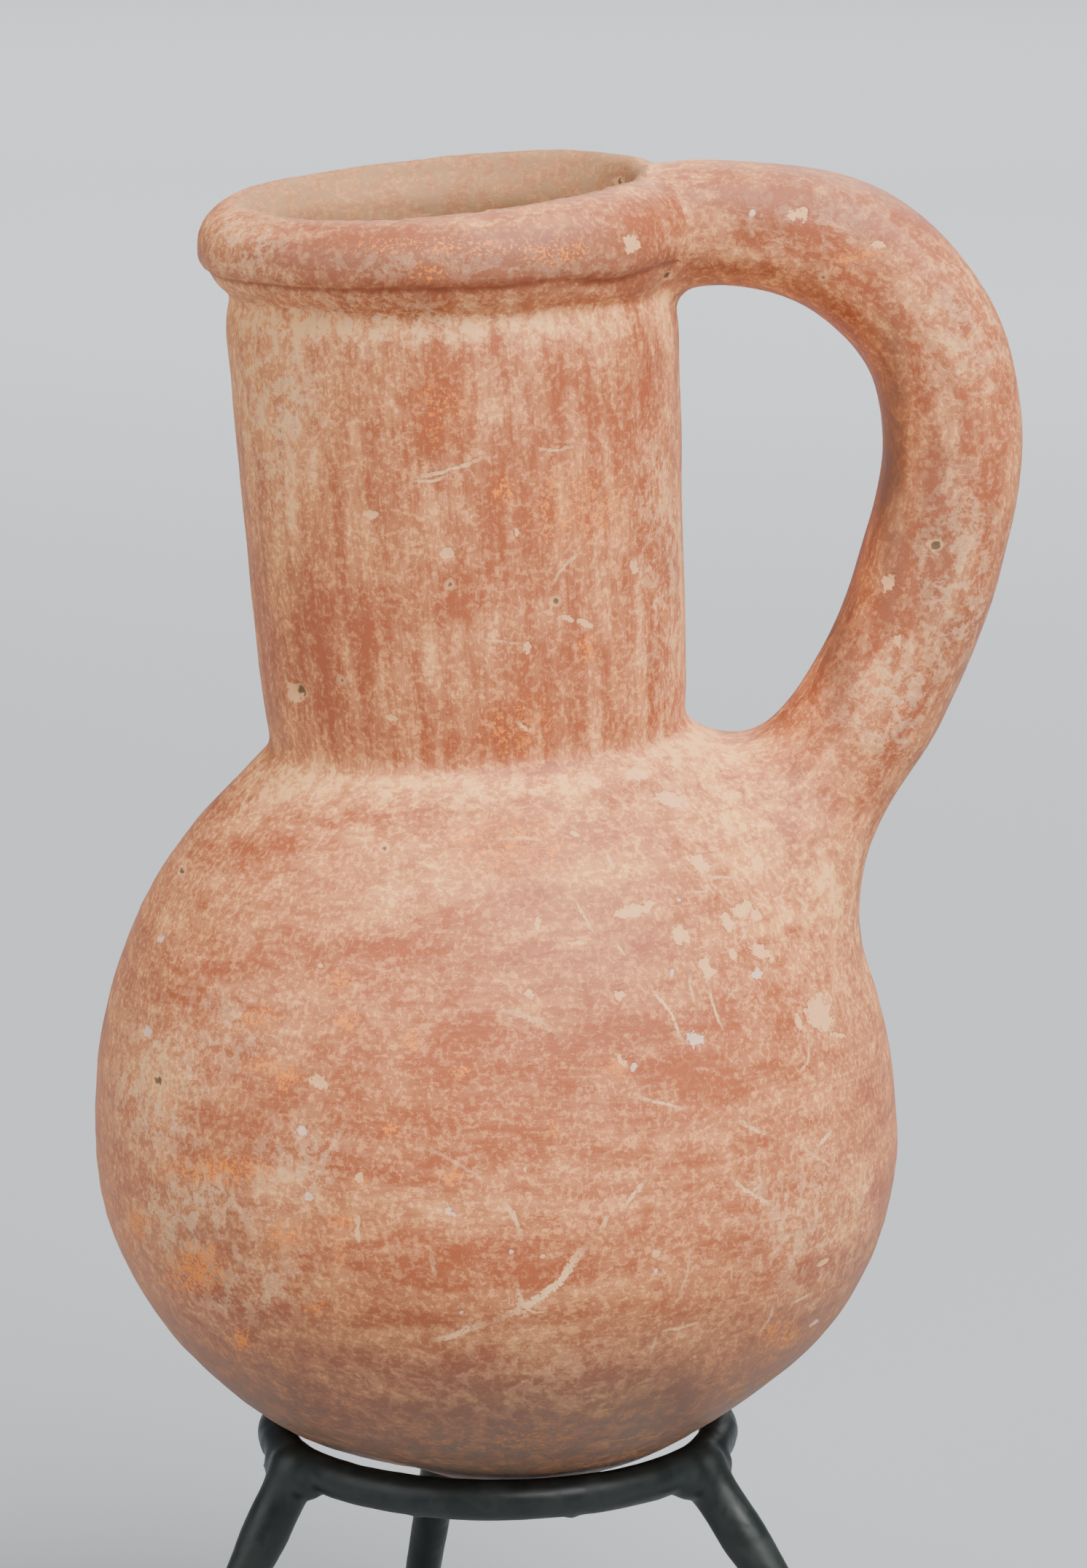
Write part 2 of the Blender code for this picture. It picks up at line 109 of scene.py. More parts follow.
# Soft tones of the clay, placed in the photograph: middle, half sizes, turn in degrees, and how
# much paler (positive) or redder (negative) the surface is there
Tone = namedtuple("Tone", "name x y wide high turn amount")
TONES = [Tone(*row) for row in (
    ("neck pale side", 395, 560, 95, 170, 0, 0.9),
    ("neck pale streak left", 405, 690, 22, 60, 5, 0.7),
    ("neck red heart", 593, 550, 34, 62, 5, -1.1),
    ("neck red heart foot", 600, 605, 48, 28, 0, -0.7),
    ("neck red spot left", 533, 471, 14, 24, 0, -0.8),
    ("neck red spot right", 684, 463, 16, 22, 0, -0.6),
    ("neck red field right", 795, 580, 70, 60, 0, -0.7),
    ("neck red stroke right", 901, 760, 13, 130, 0, -1.0),
    ("neck red stroke right foot", 897, 930, 10, 70, 0, -0.8),
    ("neck pale limb", 934, 850, 11, 180, 0, 1.0),
    ("neck pale stroke right", 880, 930, 8, 90, 0, 0.8),
    ("neck red field low left", 430, 890, 80, 80, 0, -0.6),
    ("neck red foot", 712, 990, 48, 48, 0, -0.9),
    ("neck red foot left", 500, 1010, 40, 28, 0, -0.5),
    ("neck red middle", 700, 690, 34, 70, 12, -0.6),
    ("neck red middle low", 640, 820, 48, 36, 0, -0.5),
    ("neck red low right", 765, 900, 26, 90, 0, -0.6),
    ("neck pale streak middle", 593, 895, 10, 34, 0, 0.8),
    ("neck pale middle", 560, 735, 60, 45, 0, 0.3),
    ("neck pale top", 620, 452, 220, 14, 0, 0.7),
    ("neck pale right of heart", 655, 520, 18, 40, 0, 0.5),
    ("shoulder pale by the neck", 420, 1062, 60, 30, -20, 0.9),
    ("shoulder pale under the neck", 600, 1075, 210, 22, 0, 0.7),
    ("shoulder pale left", 431, 1183, 36, 22, -10, 0.8),
    ("shoulder pale veil", 502, 1250, 58, 24, -8, 0.8),
    ("shoulder pale veil right", 587, 1202, 60, 15, -6, 0.6),
    ("shoulder pale edge spot", 302, 1209, 12, 15, 0, 0.8),
    ("shoulder pale edge spot high", 339, 1128, 20, 12, 0, 0.7),
    ("shoulder red edge", 291, 1113, 34, 11, -50, -0.6),
    ("shoulder red left", 383, 1160, 60, 18, -8, -0.5),
    ("shoulder red under the neck", 494, 1128, 60, 10, 0, -0.4),
    ("shoulder orange field", 700, 1168, 75, 34, 0, -0.6),
    ("shoulder red right", 839, 1102, 10, 14, 0, -0.6),
    ("shoulder red far right", 924, 1154, 16, 10, 0, -0.6),
    ("shoulder pale lilac right", 858, 1205, 60, 26, 8, 0.4),
    ("shoulder pale wide", 700, 1150, 380, 90, 0, 0.25),
    ("shoulder pale right", 930, 1180, 160, 90, 0, 0.2),
    ("neck right edge pale", 910, 620, 30, 200, 0, 0.5),
    ("body right pale", 1150, 1550, 70, 160, 0, 0.4),
    ("body left pale", 200, 1450, 60, 200, 0, 0.5),
    ("rim red wide", 620, 350, 310, 40, 0, -1.7),
    ("handle top red", 1080, 285, 190, 44, 5, -1.4),
    ("handle face red", 1290, 720, 60, 160, 15, -0.4),
    ("body red wide", 700, 1490, 330, 120, 0, -0.45),
    ("belly red wide", 620, 1940, 360, 60, 0, -0.9),
    ("belly red lower left", 300, 1800, 100, 90, 0, -0.4),
    ("root pale hollow", 1010, 1025, 90, 24, 0, 0.9),
    ("root red stroke", 1091, 1065, 8, 28, 0, -1.2),
    ("root pale side", 1142, 1209, 34, 55, 0, 0.9),
    ("root pale drift", 1031, 1180, 48, 20, 35, 0.7),
    ("root pale spot", 1083, 1257, 15, 12, 0, 0.8),
    ("body red patch left", 317, 1324, 42, 17, 0, -0.9),
    ("body red stroke high", 539, 1294, 44, 10, -8, -0.8),
    ("body red stroke high left", 470, 1303, 40, 7, 0, -0.4),
    ("body pale band high", 531, 1324, 60, 12, 2, 0.5),
    ("body red band second", 610, 1356, 135, 12, 3, -0.5),
    ("body red band second right", 715, 1322, 80, 11, 14, -0.5),
    ("body pale line left", 330, 1362, 62, 8, 14, 0.8),
    ("body pale patch middle", 520, 1394, 24, 15, 0, 0.7),
    ("body pale patch left", 417, 1405, 20, 18, 0, 0.5),
    ("body pale patch low left", 383, 1442, 30, 14, 0, 0.6),
    ("body red middle", 642, 1414, 50, 20, 4, -0.7),
    ("body red band third", 692, 1465, 90, 13, 14, -0.7),
    ("body red spot third", 775, 1490, 24, 11, 25, -0.9),
    ("body red dark spot", 798, 1429, 8, 8, 0, -0.9),
    ("body red patch right", 939, 1476, 42, 22, 0, -1.0),
    ("body red patch right high", 917, 1350, 15, 11, 0, -0.8),
    ("body red stroke right high", 887, 1302, 34, 11, -12, -0.6),
    ("body red stroke right", 872, 1405, 50, 14, 10, -0.5),
    ("body red edge right", 1124, 1328, 11, 10, 0, -0.7),
    ("body red edge right high", 1109, 1240, 12, 8, 0, -0.6),
    ("body red edge low right", 1190, 1498, 14, 14, 0, -0.6),
    ("body pale mottle left", 228, 1498, 34, 48, 0, 0.7),
    ("body pale edge left", 228, 1265, 12, 14, 0, 0.6),
    ("body pale smear", 740, 1402, 52, 9, 22, 0.6),
    ("body pale by the chip", 824, 1476, 24, 14, 0, 0.7),
    ("belly red left", 298, 1531, 48, 15, 0, -0.6),
    ("belly red stroke", 502, 1555, 44, 9, 2, -0.9),
    ("belly red stroke second", 513, 1605, 78, 14, 10, -0.6),
    ("belly red spot middle", 724, 1556, 44, 13, 2, -0.8),
    ("belly pale wedge", 383, 1620, 54, 22, -15, 1.0),
    ("belly pale mottle left", 232, 1679, 30, 45, 0, 0.6),
    ("belly pale mottle", 358, 1749, 36, 36, 0, 0.6),
    ("belly pale lane", 550, 1577, 44, 9, 0, 0.5),
    ("belly pale spot", 605, 1661, 24, 14, 0, 0.6),
    ("belly pale spot low", 616, 1701, 15, 6, 0, 0.7),
    ("belly lilac spot", 653, 1757, 13, 13, 0, 0.8),
    ("belly red field", 635, 1727, 50, 20, 0, -1.0),
    ("belly red lane", 550, 1751, 82, 9, 10, -0.7),
    ("belly red lane low", 587, 1806, 82, 13, -2, -1.0),
    ("belly red by the scratch", 722, 1754, 36, 20, 0, -0.9),
    ("belly red under the scratch", 635, 1868, 44, 13, -10, -0.9),
    ("belly pale lane low", 476, 1838, 64, 16, 0, 0.6),
    ("belly red low left", 439, 1919, 48, 10, 10, -0.7),
    ("belly red low left high", 457, 1868, 40, 8, 6, -0.5),
    ("belly dark red left", 291, 1772, 24, 16, 0, -0.7),
    ("belly red bottom", 561, 1982, 24, 8, 0, -0.6),
    ("belly pale bottom", 550, 1908, 62, 22, 0, 0.4),
    ("belly pale field", 735, 1842, 60, 26, 0, 0.7),
    ("belly pale field low", 735, 1900, 56, 26, 0, 0.7),
    ("belly pale spot right low", 828, 1938, 34, 10, 0, 0.6),
    ("belly pale streak right low", 902, 1923, 38, 7, -20, 0.7),
    ("belly pale streak bottom", 865, 1975, 34, 8, -15, 0.9),
    ("belly red right low", 846, 1875, 46, 13, -6, -0.7),
    ("belly red streak right low", 939, 1908, 46, 7, -18, -0.7),
    ("belly red right middle", 994, 1698, 50, 24, 0, -0.7),
    ("belly red lane right", 1068, 1749, 94, 13, -8, -0.8),
    ("belly red lane right low", 972, 1794, 60, 11, -15, -0.6),
    ("belly red middle right", 791, 1742, 36, 22, 0, -0.6),
    ("belly red high right", 1035, 1568, 27, 15, 0, -0.8),
    ("belly pale high right", 987, 1564, 22, 14, 0, 0.8),
    ("belly pale flecks right", 917, 1579, 13, 15, 0, 0.9),
    ("belly pale edge right", 1153, 1683, 28, 24, 0, 0.8),
    ("belly pale right low", 1052, 1779, 26, 14, 0, 0.5),
    ("belly pale streak right", 1112, 1775, 34, 8, -14, 0.7),
    ("rim pale left", 318, 330, 46, 50, 0, 1.3),
    ("rim red line", 520, 334, 75, 8, 0, -1.1),
    ("rim red right", 640, 380, 70, 12, 0, -0.6),
    ("rim red below", 560, 398, 60, 7, 0, -0.9),
    ("rim pale top", 600, 306, 130, 7, 0, 0.7),
    ("rim pale spot right", 866, 333, 15, 14, 0, 1.0),
    ("rim pink right", 890, 285, 50, 26, 0, -0.3),
    ("handle red band", 1100, 318, 60, 9, 10, -0.9),
    ("handle red band turn", 1180, 350, 30, 12, 30, -0.9),
    ("handle red upper", 1060, 270, 50, 12, 0, -0.5),
    ("handle pale upper", 1150, 290, 60, 14, 15, 0.3),
    ("handle beige under", 1000, 345, 45, 12, 5, 1.0),
    ("handle ridge high", 1263, 532, 7, 45, -12, -1.7),
    ("handle ridge middle", 1284, 655, 12, 85, 0, -1.5),
    ("handle ridge low", 1244, 762, 11, 50, 22, -1.6),
    ("handle ridge foot", 1210, 850, 9, 60, 18, -1.5),
    ("handle outer red high", 1375, 560, 14, 80, -8, -0.6),
    ("handle outer red", 1359, 724, 10, 60, 12, -1.4),
    ("handle outer red low", 1305, 872, 10, 80, 28, -1.7),
    ("handle outer red foot", 1240, 1000, 9, 75, 32, -1.5),
    ("handle pale face", 1318, 800, 26, 90, 18, 0.8),
    ("handle pale face low", 1215, 940, 26, 70, 25, 0.8),
    ("handle beige inner", 1250, 620, 11, 90, -4, 0.5),
    ("handle pale edge", 1397, 600, 5, 130, 4, 0.9),
)]

# Rust-orange stains, in the same columns without the turn
Stain = namedtuple("Stain", "name x y wide high amount")
STAINS = [Stain(*row) for row in (
    ("rim front", 640, 338, 190, 15, 0.55),
    ("rim front right", 760, 345, 60, 18, 0.7),
    ("rim front low", 590, 372, 36, 18, 0.5),
    ("neck heart", 610, 560, 60, 60, 0.35),
    ("neck spot", 690, 673, 15, 21, 1.0),
    ("neck spot right", 806, 890, 12, 20, 1.0),
    ("neck field right", 790, 700, 80, 70, 0.45),
    ("neck foot", 715, 1000, 68, 60, 0.4),
    ("shoulder field", 705, 1160, 95, 55, 0.5),
    ("body speck high", 465, 1346, 16, 16, 0.9),
    ("body speck", 476, 1402, 16, 15, 1.0),
    ("body dot", 563, 1429, 10, 10, 1.3),
    ("body stain left", 391, 1476, 21, 15, 1.3),
    ("body stain left low", 384, 1491, 9, 10, 1.2),
    ("body stain line", 361, 1461, 30, 9, 0.9),
    ("body stain soft", 354, 1398, 27, 18, 0.7),
    ("body speck middle", 631, 1472, 14, 8, 1.0),
    ("body speck low", 535, 1551, 12, 9, 1.2),
    ("body by the white chip", 843, 1468, 24, 14, 0.9),
    ("belly dot", 622, 1616, 12, 10, 1.4),
    ("belly speck pale", 496, 1618, 12, 9, 0.8),
    ("belly stain left", 291, 1605, 69, 21, 1.0),
    ("belly stain low left", 272, 1742, 39, 33, 1.2),
    ("belly stain middle", 387, 1698, 30, 18, 0.9),
    ("belly stain right", 469, 1675, 20, 10, 1.0),
    ("belly stain drop", 465, 1720, 9, 18, 0.8),
    ("belly edge", 187, 1679, 15, 24, 1.0),
    ("belly low edge", 332, 1838, 14, 15, 0.9),
    ("belly low", 432, 1797, 18, 10, 0.8),
    ("belly right", 760, 1546, 9, 14, 1.0),
    ("belly right bottom", 1070, 1830, 45, 18, 0.5),
    ("belly bottom", 735, 1975, 90, 18, 0.25),
    ("handle turn", 1175, 350, 38, 15, 0.6),
)]

# Fields where pale deposit lies in a fine net, in the stains' columns
LACES = [Stain(*row) for row in (
    ("body left edge", 215, 1500, 60, 90, 1.0),
    ("belly left", 260, 1660, 90, 90, 1.0),
    ("belly left low", 330, 1760, 80, 60, 0.8),
    ("belly middle left", 400, 1600, 70, 60, 0.6),
    ("body left", 300, 1420, 90, 60, 0.5),
    ("neck top", 520, 440, 190, 40, 0.7),
    ("neck left", 380, 540, 60, 150, 0.8),
    ("neck right edge", 915, 800, 40, 260, 0.6),
    ("rim front", 620, 365, 260, 22, 0.5),
    ("rim left", 340, 340, 60, 50, 0.7),
    ("handle face", 1310, 800, 60, 160, 0.8),
    ("handle face low", 1220, 960, 70, 90, 0.8),
    ("handle top", 1120, 300, 140, 60, 0.35),
    ("handle turn", 1330, 450, 70, 110, 0.5),
    ("belly right", 1120, 1690, 90, 90, 0.6),
    ("bottom", 700, 1900, 260, 60, 0.4),
)]

# Patches of painted shade, a dull brown laid where shade falls on the handle, the rim and the left
# side, in the stains' columns
PAINTED_SHADE_PATCHES = [Stain(*row) for row in (
    ("handle inner face", 1222, 640, 26, 200, 0.75),
    ("handle inner face low", 1150, 880, 30, 110, 0.5),
    ("handle face", 1285, 740, 44, 190, 0.36),
    ("rim front", 640, 352, 320, 40, 0.42),
    ("handle top", 1090, 280, 190, 50, 0.14),
    ("body left low", 270, 1720, 90, 110, 0.30),
    ("neck left", 345, 860, 40, 150, 0.2),
)]

# Chips that bare the pale clay: middle, half sizes, turn, and whether the break is white
Chip = namedtuple("Chip", "name x y wide high turn white")
CHIPS = [Chip(*row) for row in (
    ("oval", 1126, 1391, 16, 26, 8, 0.0),
    ("oval tail", 1152, 1420, 9, 3, 20, 0.0),
    ("by the oval", 1096, 1402, 4, 10, 0, 0.1),
    ("crescent left", 999, 1265, 8, 12, 20, 0.0),
    ("crescent middle", 1019, 1247, 15, 10, -15, 0.0),
    ("crescent right", 1039, 1256, 8, 9, -10, 0.0),
    ("diagonal", 1044, 1306, 18, 9, 42, 0.1),
    ("diagonal left", 1005, 1309, 5, 10, 10, 0.1),
    ("diagonal white", 1042, 1335, 9, 7, 0, 0.7),
    ("small oval", 969, 1330, 9, 14, -10, 0.0),
    ("bright dot", 922, 1335, 3, 5, 0, 0.5),
    ("long flake", 865, 1250, 27, 9, -8, 0.0),
    ("ragged flake", 932, 1283, 12, 11, 30, 0.0),
    ("triangle flake", 958, 1183, 15, 10, 40, 0.0),
    ("soft triangle", 921, 1096, 22, 10, 25, 0.0),
    ("soft by the neck", 876, 1062, 14, 10, 0, 0.0),
    ("white chip", 870, 1465, 4, 8, 10, 1.2),
    ("brown chip", 852, 1453, 5, 12, -40, 0.1),
    ("lilac spot", 954, 1426, 12, 10, 0, 0.9),
    ("diagonal fleck", 787, 1143, 8, 3, 45, 0.2),
    ("fleck", 837, 1180, 3, 9, -10, 0.2),
    ("fleck left", 739, 1265, 4, 9, 20, 0.2),
    ("dash", 791, 1294, 11, 3, 0, 0.2),
    ("beige spot", 726, 1361, 6, 6, 0, 0.1),
    ("beige spot right", 850, 1365, 8, 7, 0, 0.0),
    ("white fleck", 931, 1235, 3, 3, 0, 0.5),
    ("beige left", 435, 1484, 12, 10, 20, 0.0),
    ("bright left", 415, 1550, 6, 6, 0, 0.8),
    ("white edge", 201, 1415, 6, 8, 0, 0.9),
    ("white edge high", 221, 1287, 5, 6, 0, 0.6),
    ("beige high left", 439, 1324, 4, 4, 0, 0.2),
    ("beige speck", 494, 1616, 5, 7, 0, 0.1),
    ("bright speck", 422, 1642, 5, 5, 0, 0.5),
    ("upright fleck", 491, 1683, 4, 18, -4, 0.1),
    ("white pair", 616, 1661, 4, 5, 0, 0.7),
    ("white pair right", 624, 1667, 3, 3, 0, 0.6),
    ("dot low", 633, 1801, 3, 3, 0, 0.6),
    ("dot by the scratch", 702, 1718, 3, 3, 0, 0.5),
    ("dot by the scratch right", 745, 1725, 4, 3, 0, 0.4),
    ("dot right", 901, 1721, 5, 5, 0, 0.4),
    ("dot right low", 902, 1744, 3, 3, 0, 0.7),
    ("dot far right", 1129, 1733, 7, 5, 0, 0.1),
    ("white low edge", 1118, 1816, 5, 4, 0, 0.8),
    ("beige edge", 1189, 1631, 4, 7, 10, 0.1),
    ("speck high", 721, 1605, 3, 5, 0, 0.3),
    ("neck oval", 613, 759, 10, 6, 0, 0.0),
    ("neck flake", 804, 855, 12, 5, 25, 0.1),
    ("neck flake left", 779, 848, 9, 4, 20, 0.1),
    ("neck hook", 869, 778, 5, 10, -12, 0.2),
    ("neck fleck low", 723, 890, 5, 8, 0, 0.2),
    ("neck white left", 510, 707, 11, 5, 0, 0.4),
    ("neck curl", 537, 985, 7, 5, 30, 0.3),
    ("neck dot", 710, 730, 3, 5, -20, 0.2),
    ("pit edge", 404, 951, 10, 13, 0, 0.0),
    ("handle round spot", 1219, 800, 8, 12, 20, 0.3),
    ("handle white", 1231, 877, 8, 8, 0, 0.4),
    ("handle dot high", 1034, 292, 4, 4, 0, 0.6),
    ("handle patch high", 1096, 293, 15, 9, 10, 0.2),
    ("handle patch turn", 1205, 335, 12, 6, 0, 0.1),
    ("rim round", 866, 334, 13, 11, 0, 0.1),
)]

# Small deep pits: middle, half size, depth in millimetres
Pit = namedtuple("Pit", "name x y wide deep turn", defaults=(0,))
PITS = [Pit(*row) for row in (
    ("neck pit", 409, 949, 7, 0.9),
    ("neck pit small", 468, 934, 3, 0.3),
    ("neck pit middle", 618, 803, 4, 0.25),
    ("neck pit right", 763, 825, 4, 0.25),
    ("handle pit", 1284, 749, 6, 0.7),
    ("handle pit high", 1130, 382, 4, 0.3),
    ("rim pit", 849, 249, 4, 0.4),
    ("web pit", 915, 380, 5, 0.5),
    ("shoulder pit", 528, 1163, 5, 0.3),
    ("edge pit left", 217, 1483, 6, 0.3),
    ("edge grey spot", 248, 1195, 4, 0.2),
)]

# Scratches: half width in millimetres, strength, and the points that they pass through
Scratch = namedtuple("Scratch", "name width strength points")
SCRATCHES = [Scratch(*row) for row in (
    ("long cut foot", 0.24, 0.9, ((591, 1840), (616, 1836), (642, 1823), (668, 1817))),
    ("fine upright", 0.10, 0.7, ((787, 1232), (802, 1261), (817, 1283))),
    ("edge low", 0.12, 0.6, ((1165, 1631), (1185, 1657))),
    ("long cut", 0.30, 1.0, ((680, 1812), (719, 1795), (769, 1760), (787, 1731), (811, 1705))),
    ("short diagonal", 0.12, 0.8, ((845, 1294), (859, 1313))),
    ("white tick", 0.16, 1.0, ((1120, 1576), (1129, 1563), (1141, 1553))),
    ("long cut break", 0.18, 0.7, ((826, 1686), (836, 1667))),
    ("long fine", 0.11, 0.9, ((889, 1348), (906, 1372), (922, 1389), (933, 1420), (941, 1434))),
    ("edge fork", 0.12, 0.5, ((1094, 1570), (1120, 1588), (1139, 1600), (1144, 1611))),
    ("long cut head", 0.18, 0.8, ((854, 1661), (882, 1627), (891, 1616))),
    ("right pair", 0.10, 0.8, ((972, 1350), (978, 1376), (985, 1398), (993, 1413))),
    ("edge upright", 0.12, 0.5, ((1161, 1581), (1172, 1594), (1174, 1618))),
    ("middle short", 0.17, 0.7, ((687, 1644), (705, 1668), (718, 1698))),
    ("right pair left", 0.09, 0.7, ((946, 1335), (948, 1357), (956, 1378))),
    ("thicket long", 0.14, 0.8, ((1002, 1614), (1020, 1631), (1050, 1649), (1059, 1657))),
    ("crossing", 0.14, 0.6, ((709, 1757), (716, 1794), (727, 1812))),
    ("level long", 0.11, 0.8, ((872, 1505), (902, 1511), (943, 1522))),
    ("thicket upright", 0.12, 0.7, ((1041, 1600), (1044, 1631))),
    ("pale low", 0.12, 0.6, ((906, 1827), (939, 1821), (963, 1815))),
    ("right tick", 0.10, 0.6, ((998, 1368), (1013, 1355))),
    ("thicket high", 0.15, 0.6, ((1015, 1538), (1035, 1550), (1054, 1557))),
    ("grey low", 0.14, 0.35, ((902, 1827), (898, 1846), (891, 1868))),
    ("high level", 0.10, 0.6, ((969, 1204), (1007, 1204))),
    ("by the oval low", 0.10, 0.6, ((1111, 1429), (1109, 1457), (1094, 1476))),
    ("grey long", 0.12, 0.3, ((572, 1568), (616, 1590), (672, 1624))),
    ("high level left", 0.08, 0.6, ((946, 1224), (976, 1224))),
    ("right low curve", 0.13, 0.5, ((1039, 1829), (1054, 1812), (1061, 1786))),
    ("grey left", 0.16, 0.35, ((478, 1535), (457, 1572), (432, 1601))),
    ("high slope", 0.10, 0.6, ((963, 1187), (972, 1217), (980, 1228))),
    ("right low slope", 0.14, 0.6, ((1080, 1790), (1117, 1772))),
    ("pale upright left", 0.14, 0.35, ((591, 1716), (598, 1757))),
    ("wisp shoulder", 0.12, 0.5, ((682, 1152), (718, 1150), (754, 1154))),
    ("low upright", 0.09, 0.45, ((946, 1712), (946, 1742), (935, 1772), (932, 1786))),
    ("smear", 0.22, 0.4, ((682, 1385), (713, 1391), (739, 1402), (769, 1420))),
    ("low tick", 0.09, 0.5, ((1004, 1738), (1006, 1760))),
    ("neck long", 0.12, 0.8, ((565, 657), (609, 647), (648, 635), (668, 624))),
    ("neck slope", 0.10, 0.5, ((755, 807), (775, 775), (802, 752))),
    ("neck level", 0.10, 0.7, ((562, 660), (595, 660), (618, 652))),
    ("neck low", 0.08, 0.5, ((656, 875), (690, 881), (719, 883))),
    ("neck foot", 0.14, 0.8, ((709, 989), (718, 998), (733, 1003))),
    ("neck tick", 0.09, 0.5, ((735, 615), (760, 618), (790, 612))),
)]


# Settings

def length_setting(name, description, millimetres, low=1.0, high=500.0):
    """A length, given here in millimetres."""
    return FloatProperty(
        name=name, description=description, default=millimetres * MM, min=low * MM, max=high * MM,
        unit="LENGTH", precision=5)


def colour_setting(name, description, colour):
    return FloatVectorProperty(
        name=name, description=description, default=colour, size=3, min=0, max=1, subtype="COLOR")


def power_setting(name, description, watts):
    return FloatProperty(
        name=name, description=description, default=watts, min=0, max=2000, unit="POWER")


class VesselSizes(bpy.types.PropertyGroup):
    body_radius: length_setting("Body radius", "Widest radius of the body", 42.2, low=10)
    body_drop: length_setting(
        "Body drop", "Depth of the underside below the widest part", 36.9, low=10)
    underside_fullness: FloatProperty(
        name="Underside fullness", description="2 is an oval underside, and less is flatter",
        default=1.94, min=1.0, max=4.0)
    shoulder_rise: length_setting(
        "Shoulder rise", "Height of the oval that the shoulder follows", 49.0, low=10)
    neck_foot_radius: length_setting(
        "Neck foot radius", "Radius where the neck meets the shoulder", 21.5, low=5)
    neck_foot_height: length_setting(
        "Neck foot height", "Height of the crease under the neck", 42.9, low=5)
    neck_waist_radius: length_setting(
        "Neck waist radius", "Radius of the neck at half height", 22.6, low=5)
    neck_head_radius: length_setting(
        "Neck head radius", "Radius of the neck under its rim", 23.1, low=5)
    groove_height: length_setting(
        "Groove height", "Height of the groove under the rim", 89.3, low=10)
    rim_radius: length_setting("Rim radius", "Widest radius of the rolled rim", 25.4, low=5)
    rim_height: length_setting("Rim height", "Height of the rolled rim above the groove", 10.3)
    lip_radius: length_setting("Lip radius", "Radius of the rim's highest line", 21.1, low=5)
    fold_height: length_setting(
        "Fold height", "Height of the fold line above the groove", 3.0, low=0)
    mouth_radius: length_setting("Mouth radius", "Inside radius of the mouth", 18.4, low=5)
    body_wall: length_setting("Body wall", "Thickness of the clay in the body", 4.2)
    base_wall: length_setting("Base wall", "Thickness of the clay in the base", 5.2)
    neck_wall: length_setting("Neck wall", "Thickness of the clay in the neck", 4.4)
    strap_thickness: length_setting(
        "Strap thickness", "Thickness of the handle, seen from the side", 14.5, low=2)
    strap_width: length_setting("Strap width", "Width of the handle across the strap", 17.4, low=2)
    grain: length_setting(
        "Mesh grain", "Spacing of the clay surface's points", 0.7, low=0.3, high=3)


class ClayColours(bpy.types.PropertyGroup):
    slip_deep: colour_setting(
        "Deep slip", "Red slip where the burnish kept it whole", (0.33, 0.082, 0.030))
    slip: colour_setting("Slip", "Main colour of the worn red slip", (0.445, 0.150, 0.061))
    veil: colour_setting("Veil", "Thin pale deposit over the slip", (0.69, 0.270, 0.101))
    deposit: colour_setting(
        "Deposit", "Thick pale deposit in the creases and flecks", (0.85, 0.430, 0.165))
    bare: colour_setting(
        "Bare clay", "Pale clay under the slip, seen in chips", (0.80, 0.415, 0.190))
    white: colour_setting("White grit", "White grains and fresh breaks", (0.78, 0.56, 0.43))
    rust: colour_setting("Rust", "Orange stain of iron", (0.84, 0.215, 0.012))
    inside: colour_setting("Inside", "Dusty clay inside the vessel", (0.35, 0.198, 0.100))
    # Painted shade: a dull brown that darkens the underside, the inside of the neck and the shaded
    # patches
    soiled: colour_setting(
        "Painted shade", "Dull brown of the handled underside", (0.130, 0.097, 0.068))
    scratch: colour_setting("Scratch", "Fresh pale clay in the scratches", (0.86, 0.50, 0.235))
    # The fold line's colour: partly the slip's own dark red, partly painted shade in the fold under
    # the rim
    fold: colour_setting("Fold", "Dark line where the rim is folded", (0.235, 0.052, 0.020))
    dust: colour_setting("Dust", "Tan net of fine deposit", (0.61, 0.385, 0.225))
    # Dark colour in the middle of each pit
    soil: colour_setting("Soil", "Soil left in the pits", (0.060, 0.046, 0.022))


class TripodSizes(bpy.types.PropertyGroup):
    rod_radius: length_setting("Rod radius", "Radius of the coated wire", 2.1, low=0.5)
    ring_radius: length_setting("Ring radius", "Radius of the ring's middle line", 23.5, low=5)
    ring_height: length_setting("Ring height", "Height of the ring above the floor", 45.0, low=5)
    weld_radius: length_setting(
        "Weld radius", "Radius of the bead where a leg is joined", 3.0, low=0.5)
    grain: length_setting(
        "Mesh grain", "Spacing of the wire surface's points", 0.42, low=0.2, high=2)
    coating: colour_setting("Coating", "Colour of the wire's coating", (0.009, 0.012, 0.011))
    worn_coating: colour_setting(
        "Dusty coating", "Colour where the coating is dusty", (0.016, 0.020, 0.018))
    dust_specks: colour_setting(
        "Dust specks", "Colour of the pale specks on the coating", (0.16, 0.15, 0.13))


class StudioSettings(bpy.types.PropertyGroup):
    floor_colour: colour_setting("Floor", "Colour of the plain floor", (0.34, 0.35, 0.37))
    sky_colour: colour_setting(
        "Surroundings", "Colour of the light from all round", (0.78, 0.89, 1.0))
    sky_strength: FloatProperty(
        name="Surroundings strength", description="Strength of the light from all round",
        default=0.17, min=0, max=5)
    key_power: power_setting("Main light", "Power of the soft main light", 71.0)
    key_size: length_setting(
        "Soft light size", "Side of the main, fill and back lights", 1100, low=50, high=5000)
    fill_power: power_setting("Fill light", "Power of the light from the left side", 13.0)
    back_power: power_setting("Back light", "Power of the soft light from behind", 11.0)
    floor_power: power_setting(
        "Floor light", "Power of each light on the floor round the object", 120.0)


# Where the juglet's middle is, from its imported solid

def body_middle(sizes):
    """The middle of the body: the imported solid's lowest corner is a radius and a drop away."""
    low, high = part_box("juglet")
    return low + Vector((sizes.body_radius, sizes.body_radius, sizes.body_drop))


# Forms

